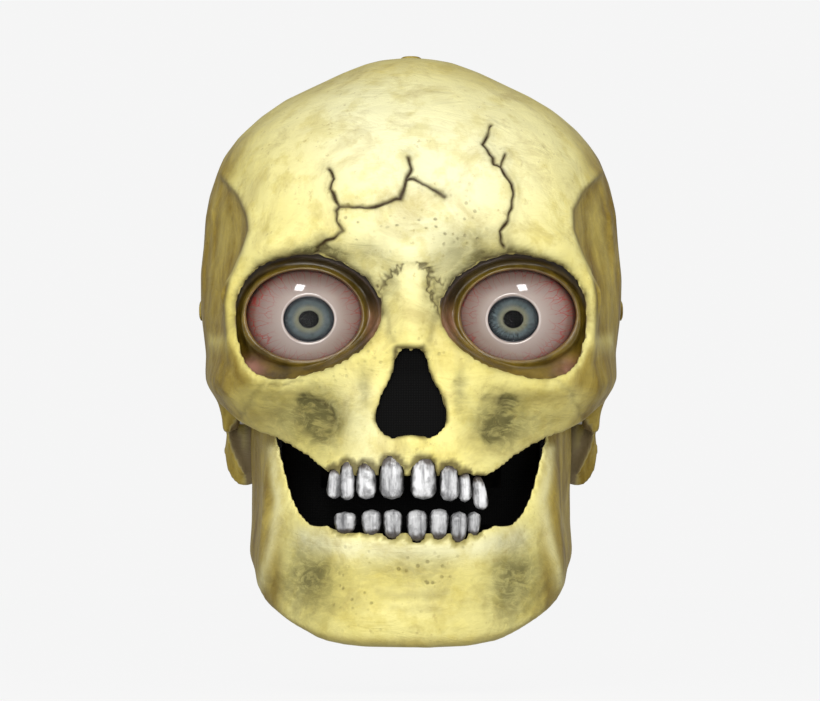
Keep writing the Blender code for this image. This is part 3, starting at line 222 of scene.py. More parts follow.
class Finish:
    """One node material on a Principled shader, with the few texture steps that the finishes share."""

    def __init__(self, name, **fixed):
        self.material = bpy.data.materials.new(name)
        self.material.use_nodes = True
        self.tree = self.material.node_tree
        self.shader = self.tree.nodes["Principled BSDF"]
        for socket, value in fixed.items():
            self.put(self.shader.inputs[socket.replace("_", " ")], value)
        self.place = self.node("ShaderNodeTexCoord").outputs["Object"]

    def put(self, socket, value):
        if isinstance(value, bpy.types.NodeSocket):
            self.tree.links.new(value, socket)
        elif hasattr(socket.default_value, "__len__") and len(socket.default_value) == 4:
            socket.default_value = (*value[:3], 1)
        else:
            socket.default_value = value

    def node(self, kind, inputs=(), **settings):
        made = self.tree.nodes.new(kind)
        for name, value in settings.items():
            setattr(made, name, value)
        for key, value in dict(inputs).items():
            self.put(made.inputs[key], value)
        return made

    def shifted(self, location=(0, 0, 0), scale=(1, 1, 1), vector=None):
        place = self.place if vector is None else vector
        return self.node("ShaderNodeMapping", {"Vector": place, "Location": location, "Scale": scale}).outputs[0]

    def grain(self, scale, detail=3, roughness=0.55, vector=None, distortion=0):
        place = self.place if vector is None else vector
        inputs = {"Vector": place, "Scale": scale, "Detail": detail, "Roughness": roughness, "Distortion": distortion}
        return self.node("ShaderNodeTexNoise", inputs).outputs["Fac"]

    def cells(self, scale, vector=None, **settings):
        place = self.place if vector is None else vector
        return self.node("ShaderNodeTexVoronoi", {"Vector": place, "Scale": scale}, **settings).outputs["Distance"]

    def wave(self, vector, scale, direction, distortion=0.0):
        inputs = {"Vector": vector, "Scale": scale, "Distortion": distortion}
        return self.node("ShaderNodeTexWave", inputs, bands_direction=direction).outputs["Fac"]

    def weave_place(self):
        return self.node("ShaderNodeUVMap", uv_map="weave").outputs["UV"]

    def ramp(self, factor, *stops):
        made = self.node("ShaderNodeValToRGB", {"Fac": factor})
        elements = made.color_ramp.elements
        while len(elements) < len(stops):
            elements.new(0.5)
        for element, (place, colour) in zip(elements, stops):
            element.position = place
            element.color = (*colour, 1) if hasattr(colour, "__len__") else (colour, colour, colour, 1)
        return made.outputs["Color"]

    def mixed(self, factor, first, second, blend="MIX"):
        made = self.node("ShaderNodeMix", data_type="RGBA", blend_type=blend)
        for index, value in ((0, factor), (6, first), (7, second)):
            self.put(made.inputs[index], value)
        return made.outputs[2]

    def maths(self, operation, first, second=0.0, clamp=False):
        made = self.node("ShaderNodeMath", {0: first, 1: second}, operation=operation, use_clamp=clamp)
        return made.outputs[0]

    def vector_maths(self, operation, inputs):
        made = self.node("ShaderNodeVectorMath", inputs, operation=operation)
        return made.outputs["Value" if operation == "LENGTH" else "Vector"]

    def attribute(self, name):
        return self.node("ShaderNodeAttribute", attribute_name=name).outputs["Fac"]

    def bump(self, height, strength, distance, below=None):
        inputs = {"Height": height, "Strength": strength, "Distance": distance}
        if below is not None:
            inputs["Normal"] = below
        return self.node("ShaderNodeBump", inputs).outputs["Normal"]

    def done(self, **sockets):
        for socket, value in sockets.items():
            self.put(self.shader.inputs[socket.replace("_", " ")], value)
        return self.material


def bone_paint(settings):
    """Airbrushed latex: yellow over cream, ochre temples, painted shade in ochre on the sides and olive in the
    hollows, a painted highlight, dark cracks, pits and a satin gloss.
    """
    make = Finish("bone_paint", Specular_IOR_Level=0.2)
    broad = make.grain(16, 4, 0.6)
    mottle = make.grain(75, 5, 0.65)
    colour = make.mixed(make.ramp(broad, (0.34, 0.0), (0.56, 1.0)), settings.deep_paint, settings.paint)
    # Painted highlight in paler cream on the forehead, the upper jaw and the jaw's front edges, and the jaw's paler
    # band.
    colour = make.mixed(make.attribute("pale"), colour, (1.0, 0.97, 0.62))
    faded = make.ramp(mottle, (0.36, (0.88, 0.85, 0.72)), (0.50, (1.0, 1.0, 1.0)))
    colour = make.mixed(1.0, colour, faded, "MULTIPLY")
    stain = make.ramp(make.grain(30, 5, 0.7, distortion=0.8), (0.50, 0.0), (0.70, 0.55))
    colour = make.mixed(stain, colour, (0.50, 0.39, 0.12))
    streaks = make.grain(24, 6, 0.7, make.shifted(scale=(1.9, 1.5, 0.7)), 1.6)
    ochre = make.mixed(make.ramp(streaks, (0.34, 0.0), (0.66, 1.0)), settings.ochre, (0.55, 0.42, 0.09))
    # The temples' ochre, and painted shade in ochre on the sides, towards the back and under overhangs.
    colour = make.mixed(make.attribute("brown"), colour, ochre)
    # Painted shade in olive over the hollows, broken up by clouds and creases.
    cloud = make.ramp(make.grain(30, 4, 0.6), (0.30, 0.82), (0.62, 1.0))
    creases = make.grain(110, 5, 0.7, make.shifted(scale=(1.0, 1.0, 2.2)), 1.2)
    creased = make.ramp(creases, (0.38, 0.72), (0.56, 1.0))
    olive = make.maths("MULTIPLY", make.maths("MULTIPLY", make.attribute("olive"), cloud), creased, True)
    colour = make.mixed(olive, colour, settings.olive)
    speck = make.ramp(make.grain(210, 3, 0.7), (0.62, 0.0), (0.74, 0.45))
    colour = make.mixed(speck, colour, (0.42, 0.31, 0.09))
    colour = make.mixed(make.attribute("dark"), colour, (0.045, 0.026, 0.008))
    inner = make.mixed(make.ramp(make.grain(34, 4), (0.3, 0.0), (0.7, 1.0)), settings.latex, (0.30, 0.235, 0.125))
    colour = make.mixed(make.attribute("inside"), colour, inner)
    pits = make.ramp(make.cells(240.0), (0.12, 0.0), (0.28, 1.0))
    pitted = make.maths("MULTIPLY", make.attribute("pits"), make.ramp(make.grain(60, 2), (0.50, 0.0), (0.58, 1.0)))
    pinhole = make.maths("MULTIPLY", make.maths("SUBTRACT", 1.0, pits), pitted)
    # Painted shade in the pinholes.
    colour = make.mixed(make.maths("MULTIPLY", pinhole, 0.55), colour, (0.10, 0.07, 0.02))
    depth = make.maths("SUBTRACT", 1.0, pinhole)
    wrinkles = make.grain(60, 5, 0.65, make.shifted(scale=(0.7, 1.0, 1.9)), 0.8)
    normal = make.bump(wrinkles, 0.6, 0.0018)
    normal = make.bump(make.grain(260, 4, 0.6), 0.22, 0.0003, normal)
    normal = make.bump(depth, 0.8, 0.0006, normal)
    gloss = make.ramp(make.grain(90, 4), (0.3, 0.36), (0.7, 0.52))
    return make.done(Base_Color=colour, Roughness=gloss, Normal=normal)


def centred(make, centre, radii):
    """Object coordinates about a centre, in units of the radii, with depth taken out."""
    scale = [1 / r if r else 0 for r in radii]
    return make.shifted([-c * s for c, s in zip(centre, scale)], scale)


def eye_white(name, centre, radii, settings):
    """Glossy enamel, pink towards the rim, with fine red veins that run in from it, and a painted shadow of the upper
    lid over its top.
    """
    make = Finish(name, Roughness=0.1, Coat_Weight=1.0, Coat_Roughness=0.03, Specular_IOR_Level=0.5)
    flat = centred(make, centre, radii)
    reach = make.vector_maths("LENGTH", {0: flat})
    ray = make.vector_maths("NORMALIZE", {0: flat})
    ragged = make.maths("ADD", reach, make.maths("MULTIPLY", make.grain(60, 3), 0.16))
    colour = make.mixed(make.ramp(ragged, (0.52, 0.0), (1.0, 1.0)), settings.white, settings.flush)
    stretched = make.vector_maths("ADD", {0: ray, 1: flat})
    for scale, low, strength, limit in ((4.2, 0.010, 0.85, 0.50), (8.5, 0.016, 0.55, 0.62)):
        bent = make.node("ShaderNodeTexNoise", {"Vector": flat, "Scale": 3.0, "Detail": 4.0}).outputs["Color"]
        warped = make.mixed(0.16, stretched, bent, "LINEAR_LIGHT")
        thread = make.ramp(make.cells(scale, warped, feature="DISTANCE_TO_EDGE"), (low, 1.0), (low * 4, 0.0))
        amount = make.maths("MULTIPLY", thread, make.ramp(reach, (limit, 0.0), (limit + 0.25, strength)))
        colour = make.mixed(amount, colour, (0.33, 0.045, 0.04))
    # Painted shadow of the upper lid over the top of the eyeball.
    height = make.node("ShaderNodeSeparateXYZ", {0: flat}).outputs["Z"]
    colour = make.mixed(1.0, colour, make.ramp(height, (0.35, 1.0), (0.8, 0.45)), "MULTIPLY")
    return make.done(Base_Color=colour, Normal=make.bump(make.grain(90, 2), 0.05, 0.0004))


def iris_print(name, centre, radii, settings):
    """Radial fibres, a lighter ring round the pupil and a dark rim."""
    make = Finish(name, Roughness=0.5, Specular_IOR_Level=0.1)
    flat = centred(make, centre, radii)
    reach = make.vector_maths("LENGTH", {0: flat})
    ray = make.vector_maths("NORMALIZE", {0: flat})
    along = make.vector_maths("ADD", {0: make.vector_maths("SCALE", {0: ray, 3: 6.0}), 1: flat})
    fibres = make.grain(4.2, 3, 0.6, along)
    colour = make.mixed(make.ramp(fibres, (0.42, 0.0), (0.60, 1.0)), (0.003, 0.005, 0.007), (0.105, 0.14, 0.15))
    ring = make.maths("ADD", reach, make.maths("MULTIPLY", fibres, 0.22))
    glow = make.ramp(ring, (0.46, 0.0), (0.54, 1.0), (0.66, 0.55), (0.78, 0.0))
    colour = make.mixed(make.maths("MULTIPLY", glow, 0.65), colour, (0.20, 0.18, 0.085))
    colour = make.mixed(0.15, colour, settings.iris)
    frayed = make.maths("ADD", reach, make.maths("MULTIPLY", fibres, 0.10))
    rims = make.ramp(frayed, (0.42, 1.0), (0.48, 0.0), (0.80, 0.0), (0.98, 1.0))
    colour = make.mixed(rims, colour, (0.004, 0.005, 0.007))
    return make.done(Base_Color=colour, Normal=make.bump(fibres, 0.5, 0.0003))


def lid_skin(settings):
    make = Finish("lid_skin", Roughness=0.3, Coat_Weight=0.2, Coat_Roughness=0.12, Specular_IOR_Level=0.35)
    blotches = make.ramp(make.grain(55, 5, 0.65), (0.35, 0.0), (0.65, 1.0))
    colour = make.mixed(blotches, settings.lid, (0.18, 0.118, 0.012))
    # Painted shade from the dark attribute: the crease, the brow's shadow and the crevice round the lids.
    colour = make.mixed(make.attribute("dark"), colour, (0.02, 0.012, 0.004))
    flesh = make.mixed(make.ramp(make.grain(120, 3), (0.4, 0.0), (0.6, 1.0)), settings.flesh, (0.33, 0.15, 0.11))
    colour = make.mixed(make.attribute("pink"), colour, flesh)
    normal = make.bump(make.grain(150, 5, 0.6, make.shifted(scale=(1, 1, 2.2))), 0.5, 0.0006)
    return make.done(Base_Color=colour, Normal=normal)


def tooth_enamel(settings):
    make = Finish("tooth_enamel", Coat_Weight=0.4, Coat_Roughness=0.15)
    upright = make.shifted(scale=(5.0, 5.0, 0.7))
    streaks = make.ramp(make.grain(46, 5, 0.7, upright), (0.38, 0.0), (0.56, 1.0))
    colour = make.mixed(streaks, (0.27, 0.27, 0.28), settings.tooth)
    colour = make.mixed(make.ramp(make.grain(130, 4), (0.56, 0.0), (0.70, 0.7)), colour, (0.11, 0.11, 0.115))
    # Brown at the roots: the gum's paint, and painted shade where the teeth meet it.
    colour = make.mixed(make.attribute("gum"), colour, (0.045, 0.026, 0.012))
    # Painted shade at the sides of the teeth, in the gaps between them and on faces turned from the front.
    colour = make.mixed(make.attribute("dark"), colour, (0.012, 0.011, 0.010))
    normal = make.bump(make.grain(70, 4, 0.6, upright), 0.6, 0.0007)
    gloss = make.ramp(make.grain(120, 3), (0.3, 0.18), (0.7, 0.38))
    return make.done(Base_Color=colour, Roughness=gloss, Normal=normal)


def mesh_cloth(name):
    """Black open mesh, woven on the piece's own grid."""
    make = Finish(name, Roughness=0.9, Specular_IOR_Level=0.15)
    uv = make.weave_place()
    weave = make.maths("MULTIPLY", make.wave(uv, 260.0, "X", 0.3), make.wave(uv, 260.0, "Y", 0.3))
    colour = make.ramp(weave, (0.15, (0.001, 0.001, 0.001)), (0.8, (0.006, 0.006, 0.006)))
    return make.done(Base_Color=colour, Normal=make.bump(weave, 0.5, 0.0004))


def webbing_weave(name, settings):
    """Ribbed webbing with a little fuzz."""
    make = Finish(name, Roughness=0.75, Sheen_Weight=0.25, Sheen_Roughness=0.5)
    uv = make.weave_place()
    warp = make.maths("ADD", make.maths("MULTIPLY", make.wave(uv, 330.0, "Y", 0.2), 0.6), 0.4)
    weave = make.maths("MULTIPLY", make.wave(uv, 190.0, "X", 0.4), warp)
    fuzz = make.grain(420, 3)
    light = tuple(3.2 * c for c in settings.webbing)
    colour = make.mixed(make.ramp(weave, (0.1, 0.0), (0.8, 1.0)), tuple(settings.webbing), light)
    colour = make.mixed(make.ramp(fuzz, (0.6, 0.0), (0.75, 0.3)), colour, (0.11, 0.11, 0.11))
    return make.done(Base_Color=colour, Normal=make.bump(weave, 0.9, 0.0005, make.bump(fuzz, 0.3, 0.0002)))


def pad_cloth(settings):
    """Brushed lining over foam."""
    make = Finish("pad_cloth", Roughness=0.92, Sheen_Weight=0.5, Sheen_Roughness=0.4)
    fibres = make.grain(520, 4, 0.7)
    light = tuple(1.9 * c for c in settings.foam)
    colour = make.mixed(make.ramp(fibres, (0.35, 0.0), (0.65, 1.0)), tuple(settings.foam), light)
    colour = make.mixed(make.ramp(make.grain(30, 3), (0.55, 0.0), (0.75, 0.4)), colour, (0.10, 0.10, 0.105))
    colour = make.mixed(make.attribute("seam"), colour, (0.015, 0.015, 0.017))
    nap = make.bump(fibres, 0.5, 0.0006)
    return make.done(Base_Color=colour, Normal=make.bump(make.cells(900.0), 0.6, 0.0004, nap))


def moulded_plastic():
    make = Finish("moulded_plastic", Specular_IOR_Level=0.5)
    scuff = make.ramp(make.grain(120, 5, 0.7), (0.55, 0.0), (0.72, 1.0))
    colour = make.mixed(scuff, (0.012, 0.012, 0.013), (0.035, 0.034, 0.033))
    pebbled = make.bump(make.cells(1400.0, feature="SMOOTH_F1"), 0.25, 0.0001)
    return make.done(Base_Color=colour, Roughness=make.ramp(scuff, (0.0, 0.38), (1.0, 0.6)), Normal=pebbled)


def gum_black():
    """Matt black latex round the roots of the teeth, near black partly as painted shade in the gaps between them."""
    make = Finish("gum_black", Roughness=0.95, Specular_IOR_Level=0.0)
    dust = make.ramp(make.grain(140, 4), (0.45, 0.0), (0.7, 1.0))
    colour = make.mixed(dust, (0.0008, 0.0008, 0.0008), (0.003, 0.0025, 0.002))
    return make.done(Base_Color=colour, Normal=make.bump(make.grain(300, 4), 0.5, 0.0004))


def plated_steel():
    make = Finish("plated_steel", Metallic=1.0)
    brushed = make.grain(260, 4, 0.6, make.shifted(scale=(1, 1, 6)))
    colour = make.mixed(make.ramp(make.grain(90, 5), (0.5, 0.0), (0.75, 1.0)), (0.62, 0.61, 0.59), (0.40, 0.35, 0.28))
    gloss = make.ramp(brushed, (0.3, 0.18), (0.7, 0.42))
    return make.done(Base_Color=colour, Roughness=gloss, Normal=make.bump(brushed, 0.12, 0.0001))


def painted_rivet(settings):
    """The shell's airbrushed ochre over a rivet head, rubbed through in specks."""
    make = Finish("painted_rivet", Roughness=0.55, Specular_IOR_Level=0.3)
    colour = make.mixed(make.ramp(make.grain(160, 4), (0.40, 0.0), (0.62, 1.0)), settings.ochre, (0.52, 0.40, 0.085))
    return make.done(Base_Color=colour, Normal=make.bump(make.grain(300, 3), 0.3, 0.0003))


def braided_elastic():
    """Braided cover: crossing diagonal strands, from the cord's own turns and length."""
    make = Finish("braided_elastic", Roughness=0.8)
    strands = []
    for slant in (1, -1):
        inputs = {"Vector": make.weave_place(), "Rotation": (0, 0, slant * math.radians(45))}
        strands.append(make.wave(make.node("ShaderNodeMapping", inputs).outputs[0], 320.0, "X"))
    weave = make.maths("MAXIMUM", *strands)
    colour = make.mixed(make.ramp(weave, (0.4, 0.0), (0.95, 1.0)), (0.006, 0.006, 0.007), (0.035, 0.035, 0.038))
    return make.done(Base_Color=colour, Normal=make.bump(weave, 0.8, 0.0003))


# ---------------------------------------------------------------------------------------------------- mesh tools


def at(x, y, z):
    """The place of a point given in face millimetres."""
    return CHIN + Vector((x, y, z)) * MM


def face_mm(points):
    return (np.asarray(points) - np.array(CHIN)) / MM


def node_bmesh(node):
    """A copy of a CAD node's mesh with its loose triangles joined."""
    bm = bmesh.new()
    bm.from_mesh(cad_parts[node].data)
    bmesh.ops.remove_doubles(bm, verts=bm.verts, dist=5e-6)
    return bm


def piece(bm, name, body, material, nodes=(), sharp=40):
    """An object from a bmesh, riding on a body in place of its CAD nodes."""
    mesh = bpy.data.meshes.new(name)
    bm.to_mesh(mesh)
    bm.free()
    mesh.materials.append(material)
    mesh.shade_smooth()
    mesh.set_sharp_from_angle(angle=math.radians(sharp))
    obj = bpy.data.objects.new(name, mesh)
    bpy.context.scene.collection.objects.link(obj)
    if body:
        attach(obj, body)
    if nodes:
        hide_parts(*nodes)
    return obj


def painted(obj, **fields):
    """Writes fields of one number a point to the mesh."""
    for name, values in fields.items():
        made = obj.data.attributes.new(name, "FLOAT", "POINT")
        made.data.foreach_set("value", np.clip(values, 0, 1).astype(np.float32))


def arrays(mesh):
    """Points and their normals."""
    found = np.empty((2, len(mesh.vertices), 3), np.float32)
    mesh.vertices.foreach_get("co", found[0].reshape(-1))
    mesh.vertices.foreach_get("normal", found[1].reshape(-1))
    return found[0].astype(float), found[1].astype(float)


def line_distance(points, line):
    """Distance of flat points from a broken line."""
    best = np.full(len(points), 1e9)
    corners = [np.array(p, float) for p in line]
    for start, end in zip(corners, corners[1:]):
        along = end - start
        share = np.clip((points - start) @ along / (along @ along), 0, 1)
        best = np.minimum(best, np.linalg.norm(points - start - share[:, None] * along, axis=1))
    return best


def bell(distance, width):
    return np.exp(-0.5 * (distance / width) ** 2)


def step(values, low, high):
    share = np.clip((values - low) / (high - low), 0, 1)
    return share * share * (3 - 2 * share)


def rough(points, scale, seed=0.0):
    """Smooth noise from -1 to 1 at points in millimetres."""
    return np.array([noise.noise(Vector(p) / scale + Vector((seed, 0, 0))) for p in points])


def evaluated(obj):
    graph = bpy.context.evaluated_depsgraph_get()
    return bpy.data.meshes.new_from_object(obj.evaluated_get(graph))


def smoothed(bm, rounds=1, factor=0.5):
    for _ in range(rounds):
        bmesh.ops.smooth_vert(bm, verts=bm.verts, factor=factor, use_axis_x=True, use_axis_y=True, use_axis_z=True)


def subdivided(bm, shape_angle, cuts, smooth=0.0):
    """Joins pairs of triangles, then cuts every edge."""
    bmesh.ops.join_triangles(bm, faces=bm.faces, angle_face_threshold=math.radians(60),
                             angle_shape_threshold=math.radians(shape_angle))
    bmesh.ops.subdivide_edges(bm, edges=bm.edges, cuts=cuts, smooth=smooth, use_grid_fill=True)


def weave_uv(bm, place):
    """Gives every face corner its place on the weave, in metres; place takes its vertex."""
    uv = bm.loops.layers.uv.new("weave")
    for face in bm.faces:
        for loop in face.loops:
            loop[uv].uv = place(loop.vert)


def walled(obj, thickness, offset=-1):
    """Gives a sheet its thickness."""
    wall = obj.modifiers.new("wall", "SOLIDIFY")
    wall.thickness = thickness
    wall.offset = offset
    return wall


def edges_rounded(obj, width):
    bevel = obj.modifiers.new("edges", "BEVEL")
    bevel.width = width
    bevel.segments = 2
    bevel.limit_method = "ANGLE"


def remeshed(bm, cell, smooth_rounds):
    """A bmesh remade of even cells and smoothed."""
    mesh = bpy.data.meshes.new("remesh")
    bm.to_mesh(mesh)
    bm.free()
    obj = bpy.data.objects.new("remesh", mesh)
    bpy.context.scene.collection.objects.link(obj)
    cells = obj.modifiers.new("cells", "REMESH")
    cells.mode = "VOXEL"
    cells.voxel_size = cell
    even = evaluated(obj)
    bpy.data.objects.remove(obj)
    made = bmesh.new()
    made.from_mesh(even)
    smoothed(made, smooth_rounds)
    return made


def turned(profile, centre, flatten, steps=96, closed=True):
    """A profile of (radius, Y), in metres, spun about the Y axis through a centre and flattened in Z."""
    bm = bmesh.new()
    verts = [bm.verts.new((r, y, 0)) for r, y in profile]
    edges = [bm.edges.new(pair) for pair in zip(verts, verts[1:])]
    if closed:
        edges.append(bm.edges.new((verts[-1], verts[0])))
    bmesh.ops.spin(bm, geom=verts + edges, cent=(0, 0, 0), axis=(0, 1, 0), angle=2 * math.pi, steps=steps,
                   use_merge=True)
    bmesh.ops.remove_doubles(bm, verts=bm.verts, dist=1e-6)
    bmesh.ops.scale(bm, vec=(1, 1, flatten), verts=bm.verts)
    bmesh.ops.translate(bm, vec=(centre[0], 0, centre[1]), verts=bm.verts)
    bmesh.ops.recalc_face_normals(bm, faces=bm.faces)
    return bm


def ribbon(middles, outs, width, thick, turn_rows=4):
    """A strap without thickness along middle points, with the way out of its face at each."""
    bm = bmesh.new()
    lengths = np.concatenate([[0], np.cumsum([(b - a).length for a, b in zip(middles, middles[1:])])])
    bmesh.ops.create_grid(bm, x_segments=len(middles) - 1, y_segments=turn_rows, size=0.5)
    for vert in bm.verts:
        share = (vert.co.x + 0.5) * (len(middles) - 1)
        row = min(int(round(share)), len(middles) - 1)
        side = vert.co.y
        ahead = middles[min(row + 1, len(middles) - 1)] - middles[max(row - 1, 0)]
        across = outs[row].cross(ahead).normalized()
        vert.co = middles[row] + across * side * width - outs[row] * thick * 0.18 * (2 * abs(side)) ** 6
    bm.verts.ensure_lookup_table()

    def place(vert):
        line, column = divmod(vert.index, len(middles))
        return lengths[column], (line / turn_rows - 0.5) * width

    weave_uv(bm, place)
    return bm


# ---------------------------------------------------------------------------------------------------- shells


def refined(bm, wanted, cuts):
    """Cuts up the faces whose points are all wanted; wanted takes points in millimetres and their normals."""
    bm.normal_update()
    points = face_mm([v.co for v in bm.verts])
    normals = np.array([v.normal for v in bm.verts])
    near = wanted(points, normals)
    for vert, chosen in zip(bm.verts, near):
        vert.tag = bool(chosen)
    edges = [edge for edge in bm.edges if edge.verts[0].tag and edge.verts[1].tag]
    bmesh.ops.subdivide_edges(bm, edges=edges, cuts=cuts, use_grid_fill=True)


def outer_front(points, normals):
    """1 on the outer surface that faces the front, 0 inside and behind."""
    away = (points[:, :2] * normals[:, :2]).sum(axis=1) / (np.linalg.norm(points[:, :2], axis=1) + 1e-6)
    return step(away, -0.1, 0.15) * step(-normals[:, 1], 0.02, 0.3)


def both_walls(points, normals):
    """1 on the outer front, and -1 on the inner surface behind it, so that a wall moves as one."""
    return outer_front(points, normals) - outer_front(points, -normals)


def tooth_rings(points, names):
    """How near each point is to a tooth, seen from the front: 1 at a tooth, 0 a little further out."""
    points = points + np.column_stack([rough(points, 3.0), np.zeros(len(points)), rough(points, 3.0, 30.0)]) * 1.2
    best = np.full(len(points), 1e9)
    for name in names:
        low, high = (face_mm([corner])[0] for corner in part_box(name))
        middle, half = (low + high)[[0, 2]] / 2, (high - low)[[0, 2]] / 2
        across = np.abs(points[:, [0, 2]] - middle) / (half + 1.6)
        best = np.minimum(best, (across**2.6).sum(axis=1))
    return 1 - step(best, 0.75, 1.3)


def moved_along_normals(mesh, points, normals, rise):
    moved = points + normals * (rise * MM)[:, None]
    mesh.vertices.foreach_set("co", moved.astype(np.float32).reshape(-1))
    mesh.update()


def inner_wall(points, normals, front):
    """1 on the unpainted inner surface."""
    return step(-(points[:, :2] * normals[:, :2]).sum(axis=1), 0, 20) * (1 - front)


def sculpted(flat, wobble, bend, grooves, hollows, rise, dark):
    """Adds tables of grooves and hollows to the rise and the dark paint, and gives the painted shade in the hollows.
    """
    olive = np.zeros(len(flat))
    for line, half_width, depth, darkness in grooves:
        near = bell(line_distance(flat + bend * wobble, line), half_width)
        rise = rise - depth * near
        dark = np.maximum(dark, darkness * near)
    for x, z, wide, tall, height, shade in hollows:
        shift = flat - (x, z) + 2.5 * wobble
        near = np.exp(-0.5 * ((shift[:, 0] / wide) ** 2 + (shift[:, 1] / tall) ** 2))
        rise = rise + height * near
        olive += shade * near
    return rise, dark, olive


def skull_shell(settings, material):
    bm = remeshed(node_bmesh("skull_shell"), settings.grain, 3)
    lines = CRACKS + SUTURES + [groove[0] for groove in SKULL_GROOVES[:1]]

    def near_lines(points, normals):
        flat = points[:, [0, 2]]
        near = np.min([line_distance(flat, line) for line in lines], axis=0) < 4
        near |= line_distance(flat, NOSE_LINE) < 4
        return near & (outer_front(points, normals) > 0.2)

    refined(bm, near_lines, 2)
    obj = piece(bm, "skull_face", "skull", material, ["skull_shell"], 60)
    places, normals = arrays(obj.data)
    points = face_mm(places)
    flat = points[:, [0, 2]]
    front = outer_front(points, normals)
    wobble = np.column_stack([rough(points, 5.0), rough(points, 5.0, 40.0)]) * 0.8
    crack = np.min([line_distance(flat + wobble, line) for line in CRACKS], axis=0)
    jagged = np.column_stack([rough(points, 2.0, 60.0), rough(points, 2.0, 90.0)]) * 2.6
    seam = np.min([line_distance(flat + jagged, line) for line in SUTURES], axis=0)
    width = settings.crack_width / MM * (1 + 0.5 * rough(points, 9.0, 80.0))
    rise = -settings.crack_depth / MM * bell(crack, width) + 0.35 * bell(crack - 1.9, 0.9)
    dark = (0.85 + 0.3 * rough(points, 7.0, 21.0)) * bell(crack, width * 0.9) + 0.2 * bell(crack, 2.4)
    dark = np.maximum(dark, 0.75 * bell(seam, 0.75))
    rise -= 0.8 * bell(seam, 0.9)
    rise, dark, olive = sculpted(flat, wobble, 2, SKULL_GROOVES, SKULL_HOLLOWS, rise, dark)
    brown, deep = np.zeros(len(points)), np.zeros(len(points))
    for side, edge in zip((-1, 1), TEMPLE_EDGES):
        corners = np.array(edge, float)
        border = np.interp(flat[:, 1], corners[::-1, 1], np.abs(corners[::-1, 0]))
        beyond = side * flat[:, 0] - border
        inside = step(flat[:, 1], 146, 156) * (1 - step(flat[:, 1], 228, 242))
        rise += 1.3 * bell(line_distance(flat, edge), 2.2)
        dark = np.maximum(dark, 0.40 * bell(beyond - 2.0, 1.3) * inside)
        deep -= 1.6 * step(beyond, 0, 7) * inside
        brown = np.maximum(brown, step(beyond, -1, 3) * inside * (1.0 - 0.2 * step(beyond, 6, 18)))
    # Painted shade in ochre: faces turned sideways, the parts further back, and faces turned down.
    sideways = step(np.abs(normals[:, 0]), 0.42, 0.80) * step(np.abs(flat[:, 0]), 60, 76)
    sideways *= 1 - step(flat[:, 1], 140, 158)
    behind = step(points[:, 1], -52, -24) * (1 - 0.7 * step(flat[:, 1], 232, 262))
    brown = np.maximum(brown, np.maximum(sideways, behind))
    brown = np.maximum(brown, 0.5 * step(-normals[:, 2], 0.35, 0.8) * step(np.abs(flat[:, 0]), 30, 60))
    mirrored = np.column_stack([np.abs(flat[:, 0]), flat[:, 1]])
    # Painted shade round each socket, strongest under the brow: a dark ring at the edge with olive beside it.
    socket = line_distance(mirrored + wobble * 0.6, [(50 + out, 161.5 + up) for out, up in SOCKET])
    above = step(flat[:, 1], 150, 176)
    dark = np.maximum(dark, bell(socket, 1.5) * (0.35 + 0.5 * above))
    olive += 0.7 * bell(socket, 3.4) * (0.3 + 0.7 * above)
    # Painted shade in olive along the brow.
    brow = bell(line_distance(mirrored, [(30, 190), (50, 193), (66, 189)]), 2.2)
    olive += 0.55 * brow * step(mirrored[:, 0], 26, 34)
    # Painted shade under the cheekbones, stronger on the wearer's right.
    lower_cheek_shade = (0.5 - 0.15 * np.sign(flat[:, 0])) * step(np.abs(flat[:, 0]), 52, 80) * (1 - step(flat[:, 1], 112, 138))
    brown = np.maximum(brown, lower_cheek_shade)
    nose_gap = line_distance(flat + wobble, NOSE_LINE)
    dark = np.maximum(dark, 0.85 * bell(nose_gap, 1.1))
    rise += 0.5 * bell(nose_gap - 2.5, 1.6) * (1 + rough(points, 4.0, 7.0))
    # Dark round the upper teeth: the gum's paint, and painted shade where the teeth meet the shell.
    gum = tooth_rings(points, [f"upper_tooth_{n}" for n in range(1, 9)])
    dark = np.maximum(dark, 0.8 * gum)
    roots = bell(line_distance(flat, [(-39, 97), (-20, 101), (0, 103), (20, 101), (39, 96)]), 5)
    rise += 0.9 * roots * np.cos(flat[:, 0] / 11.5 * math.pi) * 0.5
    rise += 0.35 * rough(points, 16.0, 3.0) + 0.12 * rough(points, 5.0, 11.0)
    moved_along_normals(obj.data, places, normals, rise * front + deep * both_walls(points, normals))
    inner = inner_wall(points, normals, front)
    pits = bell(line_distance(flat, [(-25, 204), (25, 206)]), 12)
    pits = np.maximum(pits, 0.6 * bell(line_distance(flat, [(-40, 140), (40, 140)]), 12))
    # Painted highlight on the forehead and on the upper jaw beside the nose.
    pale = 0.9 * bell(line_distance(flat, [(-20, 250), (30, 235), (5, 215)]), 30)
    pale = np.clip(pale + 0.5 * bell(line_distance(flat, [(-26, 120), (-22, 95)]), 9), 0, 1)
    painted(obj, dark=dark * front, olive=olive * front, brown=brown * (1 - inner), pale=pale * front * (1 - brown),
            pits=pits * front, inside=inner)
    return obj


